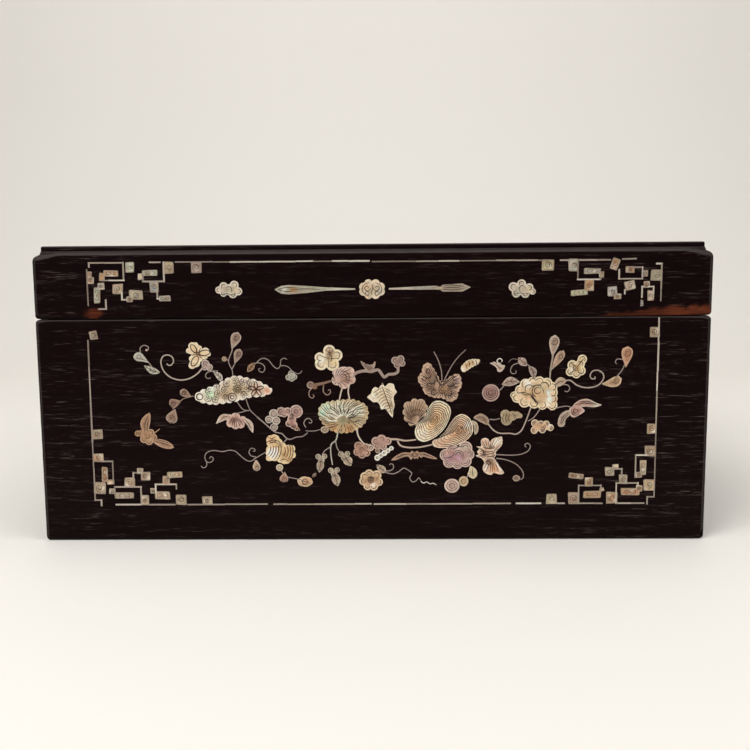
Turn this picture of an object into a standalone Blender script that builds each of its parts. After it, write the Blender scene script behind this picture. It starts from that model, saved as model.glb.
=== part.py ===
"""Lidded hardwood box with mother-of-pearl inlaid in its front.

Metres, +Z up. The origin is the middle of the underside, and the inlaid front faces -Y.
Four mitred walls hold the bottom board in a groove. Four mitred rails carry the lid's board,
and the lid drops over a lip that stands inside the walls' top edge. The inlay is thin plates,
each let flush into a pocket that follows its own outline.
"""

import math

import bmesh
import bpy
from mathutils import Matrix, Vector

MM = 0.001

# Box
LENGTH = 0.3226
DEPTH = 0.2000
BODY_HEIGHT = 0.1084
WALL = 0.0100
CORNER_ROUND = 0.0020
FOOT_ROUND = 0.0020
ARRIS = 0.0006
BOTTOM_BOARD = 0.0080
BOTTOM_RECESS = 0.0030
GROOVE = 0.0040

# Lid
LID_SIDE = 0.0306
LID_SHOULDER = 0.0040
SHOULDER_RISE = 0.0015
SHOULDER_LAND = 0.0004
LID_BOARD = 0.0084
FIELD_RISE = 0.0024
FIELD_ROUND = 0.0008
LIP_HEIGHT = 0.0036
LIP_THICK = 0.0048
LIP_CHAMFER = 0.0004

# Fits and wear
FIT = 0.0003
SEAM = 0.0005
SEAM_WEAR = 0.0018
CHIP = 0.0026

# Inlay
PLATE = 0.0007
POCKET = PLATE + FIT
STRIP = 0.0009
BORDER_INSET = 0.0258

# The inlay's drawing: coordinates in millimetres across and up the front, stretched with the box
DRAWN_LENGTH = 322.6
DRAWN_BODY = 108.4
DRAWN_LID_FOOT = 108.9
DRAWN_LID_SIDE = 30.6

LID_FOOT = BODY_HEIGHT + SEAM
LID_ARRIS = LID_FOOT + LID_SIDE
SHOULDER_TOP = LID_ARRIS + SHOULDER_RISE
FIELD_TOP = SHOULDER_TOP + FIELD_RISE
FIELD_FOOT = FIELD_TOP - LID_BOARD
PAST = 0.0200
CORNER_STEPS = 4

SIDES = {"front": 0, "right": 90, "back": 180, "left": 270}

WOOD = (0.020, 0.012, 0.011)
CREAM = (0.80, 0.68, 0.50)
BEIGE = (0.66, 0.50, 0.36)
PINK = (0.66, 0.42, 0.33)
TAN = (0.52, 0.36, 0.22)
SILVER = (0.60, 0.60, 0.50)


def clear_scene():
    for thing in list(bpy.data.objects):
        bpy.data.objects.remove(thing, do_unlink=True)


def collection(name, parent):
    made = bpy.data.collections.new(name)
    parent.children.link(made)
    return made


def material(name, colour, roughness):
    made = bpy.data.materials.get(name) or bpy.data.materials.new(name)
    made.use_nodes = True
    shader = made.node_tree.nodes["Principled BSDF"]
    shader.inputs["Base Color"].default_value = (*colour, 1)
    shader.inputs["Roughness"].default_value = roughness
    shader.inputs["Metallic"].default_value = 0
    made.diffuse_color = (*colour, 1)
    return made


def add_object(name, mesh, home):
    made = bpy.data.objects.new(name, mesh)
    home.objects.link(made)
    return made


def as_cutter(piece):
    piece.hide_render = True
    piece.display_type = "WIRE"
    return piece


def boolean(piece, operation, other):
    cut = piece.modifiers.new(operation.title(), "BOOLEAN")
    cut.operation = operation
    cut.solver = "EXACT"
    if isinstance(other, bpy.types.Collection):
        cut.operand_type = "COLLECTION"
        cut.collection = other
    else:
        cut.object = other
    return cut


# Boards

def quarter(radius, first, last):
    """Points of a rounded edge as (inset, rise), both measured from the sharp edge."""
    steps = 3
    for step in range(steps + 1):
        angle = math.radians(first + (last - first) * step / steps)
        yield radius * (1 - math.sin(angle)), radius * (1 - math.cos(angle))


def rounded_plan(inset, height):
    """One level of a box form: its plan moved in by inset, with round corners."""
    radius = max(CORNER_ROUND - inset, ARRIS / 2)
    reach = Vector((LENGTH / 2 - inset - radius, DEPTH / 2 - inset - radius))
    for corner, (sx, sy) in enumerate(((1, 1), (-1, 1), (-1, -1), (1, -1))):
        for step in range(CORNER_STEPS + 1):
            angle = math.radians(90 * corner + 90 * step / CORNER_STEPS)
            yield Vector((sx * reach.x + radius * math.cos(angle),
                          sy * reach.y + radius * math.sin(angle), height))


def box_form(name, levels, home):
    """A closed form through levels given as (inset, height)."""
    shape = bmesh.new()
    rings = [[shape.verts.new(spot) for spot in rounded_plan(inset, height)] for inset, height in levels]
    shape.faces.new(reversed(rings[0]))
    shape.faces.new(rings[-1])
    for low, high in zip(rings, rings[1:]):
        for here in range(len(low)):
            there = (here + 1) % len(low)
            shape.faces.new((low[here], low[there], high[there], high[here]))
    mesh = bpy.data.meshes.new(name)
    shape.to_mesh(mesh)
    shape.free()
    return add_object(name, mesh, home)


def block(name, low, high, home):
    bpy.ops.mesh.primitive_cube_add(size=1)
    made = bpy.context.object
    made.name = name
    made.data.transform(Matrix.Translation((Vector(low) + Vector(high)) / 2)
                        @ Matrix.Diagonal((*(Vector(high) - Vector(low)), 1)))
    for owner in list(made.users_collection):
        owner.objects.unlink(made)
    home.objects.link(made)
    return made


def inner_block(name, inset, low, high, home):
    """A block whose sides lie inset from the box's outer faces."""
    x, y = LENGTH / 2 - inset, DEPTH / 2 - inset
    return block(name, (-x, -y, low), (x, y, high), home)


def seam_bar(name, sign, home):
    """A square bar on edge along one end of the seam, which wears a V from the boards it meets."""
    side = SEAM_WEAR * math.sqrt(2)
    reach = DEPTH / 2 + PAST
    bar = block(name, (-side / 2, -reach, -side / 2), (side / 2, reach, side / 2), home)
    bar.data.transform(Matrix.Translation((sign * LENGTH / 2, 0, BODY_HEIGHT + SEAM / 2))
                       @ Matrix.Rotation(math.radians(45), 4, "Y"))
    return as_cutter(bar)


def corner_chip(home):
    """A block turned across the right front corner, which takes the chip off its foot."""
    chip = block("corner chip", (-CHIP, -CHIP, -CHIP), (CHIP, CHIP, CHIP), home)
    chip.data.transform(Matrix.Translation((LENGTH / 2, -DEPTH / 2, 0))
                        @ Matrix.Rotation(math.radians(45), 4, "Z"))
    return as_cutter(chip)


def body_levels():
    top = BODY_HEIGHT
    lip_inset = WALL - LIP_THICK
    foot = [(inset, rise) for inset, rise in quarter(FOOT_ROUND, 0, 90)]
    arris = [(inset, top - rise) for inset, rise in quarter(ARRIS, 90, 0)]
    lip_top = top + LIP_HEIGHT
    return foot + arris + [(lip_inset, top), (lip_inset, lip_top - LIP_CHAMFER),
                           (lip_inset + LIP_CHAMFER, lip_top)]


def lid_levels():
    foot = [(inset, LID_FOOT + rise) for inset, rise in quarter(ARRIS, 0, 90)]
    arris = [(inset, LID_ARRIS - rise) for inset, rise in quarter(ARRIS, 90, 30)]
    land = LID_SHOULDER - SHOULDER_LAND
    bow = [(ARRIS + (land - ARRIS) * step / 3, LID_ARRIS + SHOULDER_RISE * math.sin(math.radians(30 * step)))
           for step in range(1, 4)]
    return foot + arris + bow


def mitre_wedge(name, turn, low, high, home):
    """The plan of one wall between its two mitre planes, each set back by half a fit."""
    across, out = (LENGTH, DEPTH) if turn % 180 == 0 else (DEPTH, LENGTH)
    set_back = FIT / math.sqrt(2)
    inner = WALL + LIP_THICK
    outer, reach = across / 2 + PAST - set_back, across / 2 - inner - set_back
    plan = [(-outer, -out / 2 - PAST), (outer, -out / 2 - PAST), (reach, -out / 2 + inner), (-reach, -out / 2 + inner)]
    place = Matrix.Rotation(math.radians(turn), 4, "Z") @ Matrix.Translation((0, 0, (low + high) / 2))
    return as_cutter(slab(name, [plan], high - low, place, home))


def frame_of_boards(prefix, levels, shared_cuts, home, cutters, pockets, wood):
    """Four mitred boards cut from one form."""
    low, high = levels[0][1] - PAST, levels[-1][1] + PAST
    for side, turn in SIDES.items():
        board = box_form(f"{prefix}_{side}", levels, home)
        board.data.materials.append(wood)
        boolean(board, "INTERSECT", mitre_wedge(f"mitres of {board.name}", turn, low, high, cutters))
        boolean(board, "DIFFERENCE", shared_cuts)
        if pockets.get(board.name):
            boolean(board, "DIFFERENCE", pockets[board.name])


def make_body(home, cutters, pockets, wood):
    cuts = collection("body cuts", cutters)
    hollow_top = BODY_HEIGHT + LIP_HEIGHT + PAST
    as_cutter(inner_block("body hollow", WALL, -PAST, hollow_top, cuts))
    as_cutter(inner_block("bottom groove", WALL - GROOVE, BOTTOM_RECESS,
                          BOTTOM_RECESS + BOTTOM_BOARD + 2 * FIT, cuts))
    for sign in (-1, 1):
        seam_bar("body seam wear", sign, cuts)
    corner_chip(cuts)
    frame_of_boards("body", body_levels(), cuts, home, cutters, pockets, wood)
    bottom = inner_block("body_bottom", WALL - GROOVE + FIT, BOTTOM_RECESS + FIT,
                         BOTTOM_RECESS + FIT + BOTTOM_BOARD, home)
    bottom.data.materials.append(wood)


def make_lid(home, cutters, pockets, wood):
    cuts = collection("lid cuts", cutters)
    as_cutter(inner_block("lid hollow", WALL, LID_FOOT - PAST, FIELD_TOP + PAST, cuts))
    as_cutter(inner_block("lip rebate", WALL - LIP_THICK - FIT, LID_FOOT - PAST,
                          BODY_HEIGHT + LIP_HEIGHT + FIT, cuts))
    as_cutter(inner_block("board rebate", LID_SHOULDER, FIELD_FOOT - FIT, FIELD_TOP + PAST, cuts))
    for sign in (-1, 1):
        seam_bar("lid seam wear", sign, cuts)
    frame_of_boards("lid", lid_levels(), cuts, home, cutters, pockets, wood)
    top = inner_block("lid_top", LID_SHOULDER + FIT, FIELD_FOOT, FIELD_TOP, home)
    top.data.materials.append(wood)
    soften = top.modifiers.new("Softened edges", "BEVEL")
    soften.width = FIELD_ROUND
    soften.segments = 3
    if pockets.get("lid_top"):
        boolean(top, "DIFFERENCE", pockets["lid_top"])


# Outlines of the inlay, counter-clockwise, in drawing millimetres

def lobed(x, z, width, height, lobes, notch, turn=0, steps=4):
    """A flower or leaf edge: round lobes with a sharp notch between each two."""
    count = lobes * steps
    for step in range(count):
        angle = 2 * math.pi * step / count
        reach = 1 - notch * (1 - abs(math.cos(angle * lobes / 2)))
        tilt = angle + math.radians(turn)
        yield x + width / 2 * reach * math.cos(tilt), z + height / 2 * reach * math.sin(tilt)


def ribbon(spine, widths):
    """A band along a spine, as wide at each point as widths says, blunt at both ends."""
    left, right = [], []
    for here, spot in enumerate(spine):
        before, after = spine[max(here - 1, 0)], spine[min(here + 1, len(spine) - 1)]
        across = Vector((after[1] - before[1], before[0] - after[0])).normalized()
        half = across * widths[here] / 2
        right.append((spot[0] + half.x, spot[1] + half.y))
        left.append((spot[0] - half.x, spot[1] - half.y))
    return right + left[::-1]


def stem(spine, start=1.1, end=0.8):
    last = len(spine) - 1
    return ribbon(spine, [start + (end - start) * step / last for step in range(last + 1)])


def curl(x, z, radius, first, sweep, shrink, steps=9):
    """Points of a spiral that tightens by shrink over its sweep in degrees."""
    for step in range(steps + 1):
        share = step / steps
        angle = math.radians(first + sweep * share)
        reach = radius * (1 - shrink * share)
        yield x + reach * math.cos(angle), z + reach * math.sin(angle)


def tile(x, z, width, height, turn=0):
    corner = Matrix.Rotation(math.radians(turn), 2)
    for sx, sz in ((-1, -1), (1, -1), (1, 1), (-1, 1)):
        spot = corner @ Vector((sx * width / 2, sz * height / 2))
        yield x + spot.x, z + spot.y


def fret(*spots):
    """A strip along straight runs that turn square, with mitred turns."""
    half = STRIP / MM / 2
    runs = [(Vector(there) - Vector(here)).normalized() for here, there in zip(spots, spots[1:])]
    right, left = [], []
    for here, spot in enumerate(spots):
        before, after = runs[max(here - 1, 0)], runs[min(here, len(runs) - 1)]
        side = Vector((before.y, -before.x)) + Vector((after.y, -after.x))
        side *= 2 * half / side.length_squared
        right.append((spot[0] + side.x, spot[1] + side.y))
        left.append((spot[0] - side.x, spot[1] - side.y))
    return right + left[::-1]


BODY_FRETS = {
    "border_body_left": (
        fret((-135.3, 107.6), (-135.3, 20.4), (-132.3, 20.4), (-132.3, 17.8)),
        tile(-132.9, 53.1, 5.2, 4.6), tile(-132.9, 41.5, 5.2, 4.2), tile(-132.8, 26.4, 5.8, 5.9),
        tile(-133.1, 101.5, 4.6, 4.6), fret((-131.0, 39.7), (-126.0, 39.7), (-126.0, 29.6)),
        tile(-127.4, 29.4, 3.4, 2.4), tile(-130.0, 33.2, 2.9, 7.4)),
    "border_body_bottom_left": (
        fret((-128.5, 18.1), (-0.4, 18.1)), fret((-112.6, 18.1), (-112.6, 27.0), (-125.4, 27.0),
        (-125.4, 22.8)),
        tile(-126.8, 24.8, 3.0, 2.8), tile(-120.8, 22.6, 9.2, 2.9), tile(-110.9, 20.2, 3.6, 4.9),
        tile(-118.1, 29.2, 4.9, 4.8), fret((-116.1, 31.0), (-116.1, 34.0), (-112.8, 34.0)),
        tile(-112.7, 34.9, 2.9, 2.7), tile(-110.3, 32.4, 4.6, 4.2), tile(-93.2, 20.5, 5.3, 5.2),
        tile(-80.4, 20.0, 5.0, 4.2)),
    "fret_body_left": (
        fret((-105.4, 24.2), (-105.4, 28.2), (-95.4, 28.2), (-95.4, 26.0)),
        tile(-106.7, 24.9, 2.8, 2.8), tile(-102.2, 22.7, 7.4, 4.1), tile(-100.2, 30.1, 3.4, 4.6),
        tile(-95.9, 33.0, 7.3, 2.9, 3)),
    "border_body_right": (
        fret((135.7, 107.6), (135.7, 21.2), (132.5, 21.2), (132.5, 17.8)),
        tile(133.4, 43.7, 5.4, 5.1), tile(133.3, 27.1, 5.5, 5.5), tile(133.8, 54.6, 4.8, 4.8),
        tile(133.9, 101.2, 4.6, 4.8), fret((131.6, 41.8), (126.5, 41.8), (126.5, 31.8)),
        tile(128.0, 32.0, 3.6, 2.9), tile(130.1, 35.7, 3.0, 7.4)),
    "border_body_bottom_right": (
        fret((0.4, 18.1), (131.3, 18.1)), tile(115.4, 20.8, 5.3, 5.7), tile(97.2, 20.6, 5.4, 5.5),
        tile(86.4, 20.3, 5.0, 4.8), fret((117.5, 18.1), (117.5, 28.1), (127.9, 28.1), (127.9, 25.6)),
        tile(128.5, 25.5, 2.9, 3.0), tile(124.2, 23.7, 8.8, 3.3), tile(120.7, 30.0, 4.0, 4.6),
        fret((119.9, 32.0), (119.9, 35.1), (114.8, 35.1)), tile(116.8, 36.1, 2.8, 2.9),
        tile(114.1, 33.7, 4.3, 4.3), fret((99.5, 18.1), (99.5, 27.0), (110.1, 27.0), (110.1, 24.6)),
        tile(110.6, 24.8, 2.6, 2.8), tile(106.0, 22.5, 8.6, 3.4), tile(104.3, 28.7, 3.9, 4.6),
        fret((103.2, 30.6), (103.2, 32.4), (97.0, 32.4)), tile(97.7, 31.2, 2.9, 3.3)),
}

LID_FRETS = {
    "border_lid_left": (
        fret((-132.1, 135.9), (-132.1, 133.5), (-134.4, 133.5), (-134.4, 115.5)),
        tile(-132.6, 128.1, 4.4, 4.8)),
    "fret_lid_left_side": (tile(-129.9, 120.1, 3.1, 7.6), tile(-127.9, 124.5, 3.2, 3.0)),
    "border_lid_top_left": (
        fret((-128.8, 135.5), (-0.4, 135.5)), tile(-113.9, 133.3, 4.2, 4.8), tile(-95.2, 133.0, 4.4, 5.6),
        tile(-82.4, 133.1, 5.1, 5.2), fret((-116.9, 135.5), (-116.9, 127.1), (-127.4, 127.1)),
        tile(-127.3, 128.8, 2.5, 3.8), tile(-123.0, 130.5, 7.0, 2.9),
        fret((-97.8, 135.5), (-97.8, 126.5), (-107.8, 126.5), (-107.8, 129.8)),
        tile(-108.9, 128.8, 2.5, 2.8), tile(-104.4, 130.5, 7.2, 2.9), tile(-102.6, 124.0, 4.2, 5.2),
        fret((-101.2, 122.4), (-101.2, 118.4), (-99.4, 118.4)), tile(-97.8, 118.4, 5.6, 2.8)),
    "fret_lid_left": (
        tile(-120.0, 123.1, 4.9, 4.7), fret((-118.1, 121.2), (-118.1, 118.0), (-114.6, 118.0)),
        tile(-114.5, 118.2, 3.2, 2.8), tile(-111.4, 120.2, 6.4, 4.6)),
    "border_lid_right": (
        fret((133.8, 133.2), (136.0, 133.2), (136.0, 117.0)), tile(133.8, 127.8, 5.3, 5.3)),
    "fret_lid_right_side": (
        fret((127.3, 118.2), (127.3, 122.5), (132.6, 122.5), (132.6, 119.4)),
        tile(129.4, 123.5, 2.9, 3.0), tile(131.5, 118.3, 3.3, 4.8)),
    "border_lid_top_right": (
        fret((0.4, 135.2), (131.2, 135.2)), tile(83.1, 132.9, 5.6, 5.1), tile(95.0, 132.8, 4.8, 5.6),
        tile(114.4, 133.3, 3.8, 5.4, -18), fret((97.1, 135.2), (97.1, 126.1), (107.7, 126.1),
        (107.7, 128.8)),
        tile(108.2, 128.4, 2.4, 2.9), tile(103.8, 130.0, 7.9, 2.7), tile(102.4, 123.4, 4.5, 5.6),
        tile(97.8, 119.9, 7.8, 2.7, 6)),
    "fret_lid_right_outer": (
        fret((121.4, 131.6), (127.2, 131.6), (127.2, 126.3), (123.9, 126.3)),
        tile(121.5, 130.6, 4.2, 2.9), tile(128.4, 128.6, 3.0, 3.0)),
    "fret_lid_right": (tile(113.4, 120.3, 4.6, 4.7, 3), tile(116.0, 118.0, 3.4, 2.8)),
}

LID_PLATES = {
    "cloud_left": (CREAM, lobed(-67.6, 122.5, 12.4, 7.8, 5, 0.25, 20)),
    "cloud_right": (CREAM, lobed(71.1, 121.6, 12.8, 9.0, 5, 0.22, -8)),
    "medallion": (CREAM, lobed(0.5, 122.2, 13.0, 9.6, 8, 0.12, 22.5, 3)),
    "bar_left": (SILVER, ribbon([(-45.5, 122.3), (-42.5, 122.2), (-39, 122.2), (-30, 122.3), (-21, 122.4),
                                 (-7.4, 122.3)], [0.3, 3.6, 4.6, 3.4, 1.7, 0.9])),
    "bar_right": (SILVER, ribbon([(8.4, 122.3), (20, 122.5), (30, 122.7), (34, 122.4), (43, 122.7),
                                  (46.8, 122.8)], [0.9, 1.7, 2.0, 3.0, 4.0, 0.3])),
}

BODY_PLATES = {
    "flower_three_petals": (CREAM, lobed(-82.6, 91.6, 12.6, 13.0, 3, 0.42, 0, 5)),
    "floret_spray": (BEIGE, (
        (-85.4, 71.4), (-83.0, 68.6), (-77.5, 67.1), (-71.0, 67.9), (-65.0, 68.8), (-58.0, 71.2),
        (-54.5, 71.0),
        (-48.6, 73.9), (-51.7, 76.5), (-54.5, 79.4), (-61.5, 80.8), (-65.5, 81.9), (-70.5, 79.7),
        (-72.5, 78.0),
        (-79.8, 75.2), (-83.0, 73.9))),
    "swallowtail": (TAN, (
        (-113.4, 50.0), (-110.0, 48.3), (-107.0, 48.8), (-101.5, 46.8), (-97.5, 47.2), (-98.9, 49.9),
        (-102.0, 50.9), (-106.0, 51.0), (-105.9, 53.2), (-109.9, 55.2), (-108.3, 60.0), (-108.5, 64.6),
        (-111.8, 61.8), (-113.0, 57.2), (-116.0, 56.0), (-114.0, 53.2))),
    "bellflower": (PINK, (
        (-76.3, 59.4), (-74.6, 58.6), (-71.6, 60.7), (-69.2, 57.2), (-64.3, 56.0), (-62.2, 59.4),
        (-59.9, 54.9),
        (-57.5, 54.1), (-58.4, 58.0), (-61.4, 61.6), (-66.5, 63.9), (-71.2, 63.6), (-74.6, 62.0))),
    "arch_cluster": (PINK, (
        (-49.4, 56.3), (-46.0, 56.0), (-45.2, 60.2), (-42.6, 61.6), (-40.6, 57.6), (-40.2, 55.8),
        (-36.3, 56.2),
        (-35.4, 59.6), (-33.7, 63.6), (-36.4, 67.3), (-40.2, 65.9), (-45.6, 65.9), (-49.4, 63.0),
        (-52.0, 60.6), (-50.2, 58.4))),
    "peony_left": (CREAM, (
        (-51.5, 39.8), (-45.8, 39.5), (-43.0, 37.5), (-39.6, 38.2), (-38.8, 40.4), (-36.2, 41.3),
        (-37.4, 43.4),
        (-36.9, 47.5), (-42.2, 47.6), (-44.0, 50.0), (-46.0, 52.9), (-50.8, 52.4), (-51.2, 48.6),
        (-50.3, 47.6),
        (-51.6, 44.6))),
    "blossom_top": (CREAM, lobed(-20.3, 90.2, 13.2, 12.4, 5, 0.24, 18)),
    "rose_leaf": (PINK, lobed(-13.2, 80.1, 10.8, 10.0, 6, 0.10, 15, 3)),
    "chrysanthemum": (SILVER, lobed(-14.0, 61.5, 24.0, 15.8, 8, 0.07, 0, 3)),
    "vine_leaf": (CREAM, (
        (-1.8, 70.4), (0.6, 68.9), (2.0, 68.6), (3.2, 66.0), (6.0, 64.4), (9.9, 61.4), (10.1, 66.0),
        (10.8, 70.5),
        (11.7, 73.4), (10.2, 76.0), (7.2, 75.6), (3.4, 75.3), (0.3, 74.2))),
    "melon_left": (CREAM, (
        (24.6, 48.7), (28.2, 49.8), (31.4, 51.8), (34.6, 55.1), (36.8, 59.4), (37.8, 63.6), (36.6, 66.6),
        (33.0, 68.6), (29.5, 68.2), (27.0, 65.0), (25.4, 61.0), (21.9, 57.4), (20.5, 53.8), (21.5, 50.4))),
    "melon_right": (BEIGE, (
        (28.9, 47.4), (31.0, 45.9), (35.6, 45.7), (40.2, 46.8), (45.0, 49.2), (48.0, 52.6), (48.4, 56.0),
        (46.9, 60.0), (43.4, 62.2), (40.2, 61.0), (37.6, 57.8), (35.4, 54.1), (32.2, 50.9), (29.4, 49.4))),
    "melon_leaf": (PINK, (
        (33.4, 38.4), (38.0, 36.2), (43.0, 36.4), (47.4, 37.6), (47.4, 40.8), (49.0, 44.4), (48.6, 48.2),
        (45.6, 48.6), (40.6, 46.1), (35.8, 44.9), (32.5, 43.6))),
    "round_leaf": (TAN, (
        (18.0, 57.0), (20.6, 56.6), (24.2, 61.2), (26.3, 65.2), (25.6, 68.1), (22.2, 69.8), (19.0, 68.2),
        (16.6, 66.8), (16.2, 63.2), (15.3, 61.8), (16.8, 59.2))),
    "butterfly_large": (TAN, (
        (32.9, 70.4), (34.9, 69.9), (37.2, 67.9), (40.3, 68.2), (42.0, 70.8), (41.4, 73.0), (43.5, 75.2),
        (43.5, 77.0), (42.1, 78.6), (42.9, 82.2), (39.5, 81.4), (36.3, 78.4), (32.4, 77.6), (30.0, 83.0),
        (27.2, 87.3), (24.8, 85.0), (24.0, 81.2), (22.0, 80.4), (22.4, 77.8), (24.5, 76.0), (24.9, 73.6),
        (27.6, 71.2), (30.8, 70.0))),
    "butterfly_small": (BEIGE, (
        (57.0, 33.2), (60.2, 36.6), (59.0, 41.0), (59.6, 44.4), (62.3, 47.4), (62.4, 50.9), (58.4, 50.0),
        (57.0, 48.4), (55.4, 50.4), (52.6, 50.0), (52.2, 46.6), (50.2, 46.0), (51.0, 42.6), (53.4, 38.4))),
    "bat": (TAN, (
        (9.0, 40.1), (13.2, 40.4), (16.6, 42.4), (18.6, 40.4), (22.8, 40.5), (25.4, 42.2), (31.6, 40.8),
        (27.0, 43.6), (20.6, 44.4), (14.6, 43.8))),
    "peony_right": (CREAM, (
        (67.0, 69.2), (69.0, 67.8), (73.6, 65.3), (77.0, 65.9), (81.0, 64.8), (85.6, 64.3), (88.3, 65.6),
        (88.3, 68.6), (88.9, 72.0), (87.4, 75.9), (84.0, 78.4), (79.0, 79.3), (73.4, 78.6), (70.4, 75.2),
        (69.3, 71.6))),
    "blossom_right": (CREAM, (
        (92.0, 80.4), (96.0, 80.3), (98.8, 79.2), (101.3, 81.0), (101.3, 85.0), (102.2, 88.2), (99.8, 90.4),
        (96.8, 88.0), (93.2, 86.8), (93.2, 83.6))),
    "cluster_right": (BEIGE, lobed(81.6, 56.0, 11.4, 7.2, 6, 0.18, 12)),
    "leaf_spray_right": (PINK, (
        (89.4, 56.2), (92.0, 56.3), (92.8, 59.8), (95.4, 60.2), (99.0, 61.8), (101.2, 63.4), (101.8, 65.8),
        (106.0, 65.3), (109.6, 66.3), (103.0, 69.2), (98.6, 68.5), (95.6, 64.7), (91.4, 62.8),
        (89.1, 59.6))),
    "disc_fruit": (PINK, lobed(56.8, 72.4, 8.6, 8.4, 4, 0.0, 0, 3)),
    "blossom_low": (BEIGE, lobed(-1.3, 30.3, 10.9, 10.6, 5, 0.24, 10)),
    "flower_mid": (TAN, lobed(-5.3, 45.3, 8.2, 8.8, 5, 0.18, 40, 3)),
    "scroll_left": (SILVER, stem(
        [(-81.6, 84.6), (-85.6, 81.2), (-91.2, 79.4), *curl(-94.6, 86.0, 6.6, 262, -88, 0.08, 3),
         *curl(-97.4, 88.2, 3.3, 168, -318, 0.66)])),
    "scroll_right": (SILVER, stem(
        [(92.4, 78.2), (95.0, 78.0), (98.8, 75.4), (104.4, 74.6), *curl(106.6, 79.4, 3.9, 300, 372, 0.64)])),
}


# Placing the inlay

def face_place(turn):
    """Drawing across and up to the wall that faces the given way, with its outer face at zero."""
    out = (DEPTH if turn % 180 == 0 else LENGTH) / 2
    return (Matrix.Rotation(math.radians(turn), 4, "Z") @ Matrix.Translation((0, -out, 0))
            @ Matrix.Rotation(math.radians(90), 4, "X"))


def on_body(outline):
    return [(x / DRAWN_LENGTH * LENGTH, z / DRAWN_BODY * BODY_HEIGHT) for x, z in outline]


def on_lid(outline):
    return [(x / DRAWN_LENGTH * LENGTH, LID_FOOT + (z - DRAWN_LID_FOOT) / DRAWN_LID_SIDE * LID_SIDE)
            for x, z in outline]


def slab(name, outlines, thickness, place, home, grow=0.0):
    """A flat outline of even thickness, centred on its plane, as a closed mesh."""
    curve = bpy.data.curves.new(name, "CURVE")
    curve.dimensions = "2D"
    curve.fill_mode = "BOTH"
    curve.extrude = thickness / 2
    curve.offset = grow
    for outline in outlines:
        spline = curve.splines.new("POLY")
        spline.points.add(len(outline) - 1)
        for point, (across, up) in zip(spline.points, outline):
            point.co = (across, up, 0, 1)
        spline.use_cyclic_u = True
    drawn = add_object(name + " outline", curve, home)
    drawn.matrix_world = place
    bpy.context.view_layer.update()
    seen = drawn.evaluated_get(bpy.context.evaluated_depsgraph_get())
    mesh = bpy.data.meshes.new_from_object(seen)
    mesh.name = name
    welded = bmesh.new()
    welded.from_mesh(mesh)
    bmesh.ops.remove_doubles(welded, verts=welded.verts, dist=1e-7)
    bmesh.ops.recalc_face_normals(welded, faces=welded.faces)
    welded.to_mesh(mesh)
    welded.free()
    made = add_object(name, mesh, home)
    made.matrix_world = drawn.matrix_world
    bpy.data.objects.remove(drawn, do_unlink=True)
    return made


def let_in(name, outlines, place, board, colour, home, cutters, pockets):
    """A plate flush in its board, joined where its tiles touch, and the pocket that holds it."""
    nacre = material("nacre " + "_".join(str(round(100 * part)) for part in colour), colour, 0.28)
    plate_place = place @ Matrix.Translation((0, 0, -PLATE / 2))
    pocket_place = place @ Matrix.Translation((0, 0, (PLATE - POCKET) / 2))
    piece = slab(name, outlines[0], PLATE, plate_place, home)
    piece.data.materials.append(nacre)
    for number, more in enumerate(outlines[1:], 1):
        boolean(piece, "UNION", as_cutter(slab(f"{name} tile {number}", more, PLATE, plate_place, cutters)))
    for number, outline in enumerate(outlines):
        as_cutter(slab(f"{name} pocket {number}", outline, PLATE + POCKET, pocket_place, pockets[board], FIT))


def border_frame(turn, low, high):
    """A ring one strip wide, set in from the edges of a wall by the border's inset."""
    across = (LENGTH if turn % 180 == 0 else DEPTH) / 2 - BORDER_INSET
    outer, inner = [], []
    for sx, sz in ((-1, low), (1, low), (1, high), (-1, high)):
        outer.append((sx * across, sz))
        inner.append((sx * (across - STRIP), sz + (STRIP if sz == low else -STRIP)))
    return [outer, inner[::-1]]


def make_inlay(home, cutters, pockets):
    front = face_place(0)
    for name, shapes in BODY_FRETS.items():
        outlines = [[on_body(shape)] for shape in shapes]
        let_in(name, outlines, front, "body_front", BEIGE, home, cutters, pockets)
    for name, shapes in LID_FRETS.items():
        outlines = [[on_lid(shape)] for shape in shapes]
        let_in(name, outlines, front, "lid_front", BEIGE, home, cutters, pockets)
    for name, (colour, shape) in BODY_PLATES.items():
        let_in(name, [[on_body(shape)]], front, "body_front", colour, home, cutters, pockets)
    for name, (colour, shape) in LID_PLATES.items():
        let_in(name, [[on_lid(shape)]], front, "lid_front", colour, home, cutters, pockets)
    margin = BORDER_INSET * BODY_HEIGHT / DEPTH
    for side in ("back", "left", "right"):
        ring = border_frame(SIDES[side], margin, BODY_HEIGHT - margin)
        let_in(f"border_{side}", [ring], face_place(SIDES[side]), f"body_{side}", BEIGE, home, cutters, pockets)
    reach = DEPTH / 2 - BORDER_INSET
    let_in("border_top", [border_frame(0, -reach, reach)], Matrix.Translation((0, 0, FIELD_TOP)), "lid_top",
           BEIGE, home, cutters, pockets)


def main():
    clear_scene()
    scene = bpy.context.scene.collection
    home = collection("inlaid box", scene)
    cutters = collection("cutters", scene)
    wood = material("dark hardwood", WOOD, 0.42)
    boards = [f"{part}_{side}" for part in ("body", "lid") for side in SIDES] + ["lid_top"]
    pockets = {board: collection(f"pockets of {board}", cutters) for board in boards}
    make_inlay(home, cutters, pockets)
    pockets = {board: found for board, found in pockets.items() if found.objects}
    make_body(home, cutters, pockets, wood)
    make_lid(home, cutters, pockets, wood)


main()
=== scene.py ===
"""Finish of the inlaid hardwood box: worn boards, engraved mother-of-pearl, and a plain studio."""

import math
import random

import bmesh
import bpy
import numpy as np
from bpy.props import FloatProperty, FloatVectorProperty, PointerProperty
from mathutils import Matrix, Vector, noise
from mathutils.geometry import delaunay_2d_cdt


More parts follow.
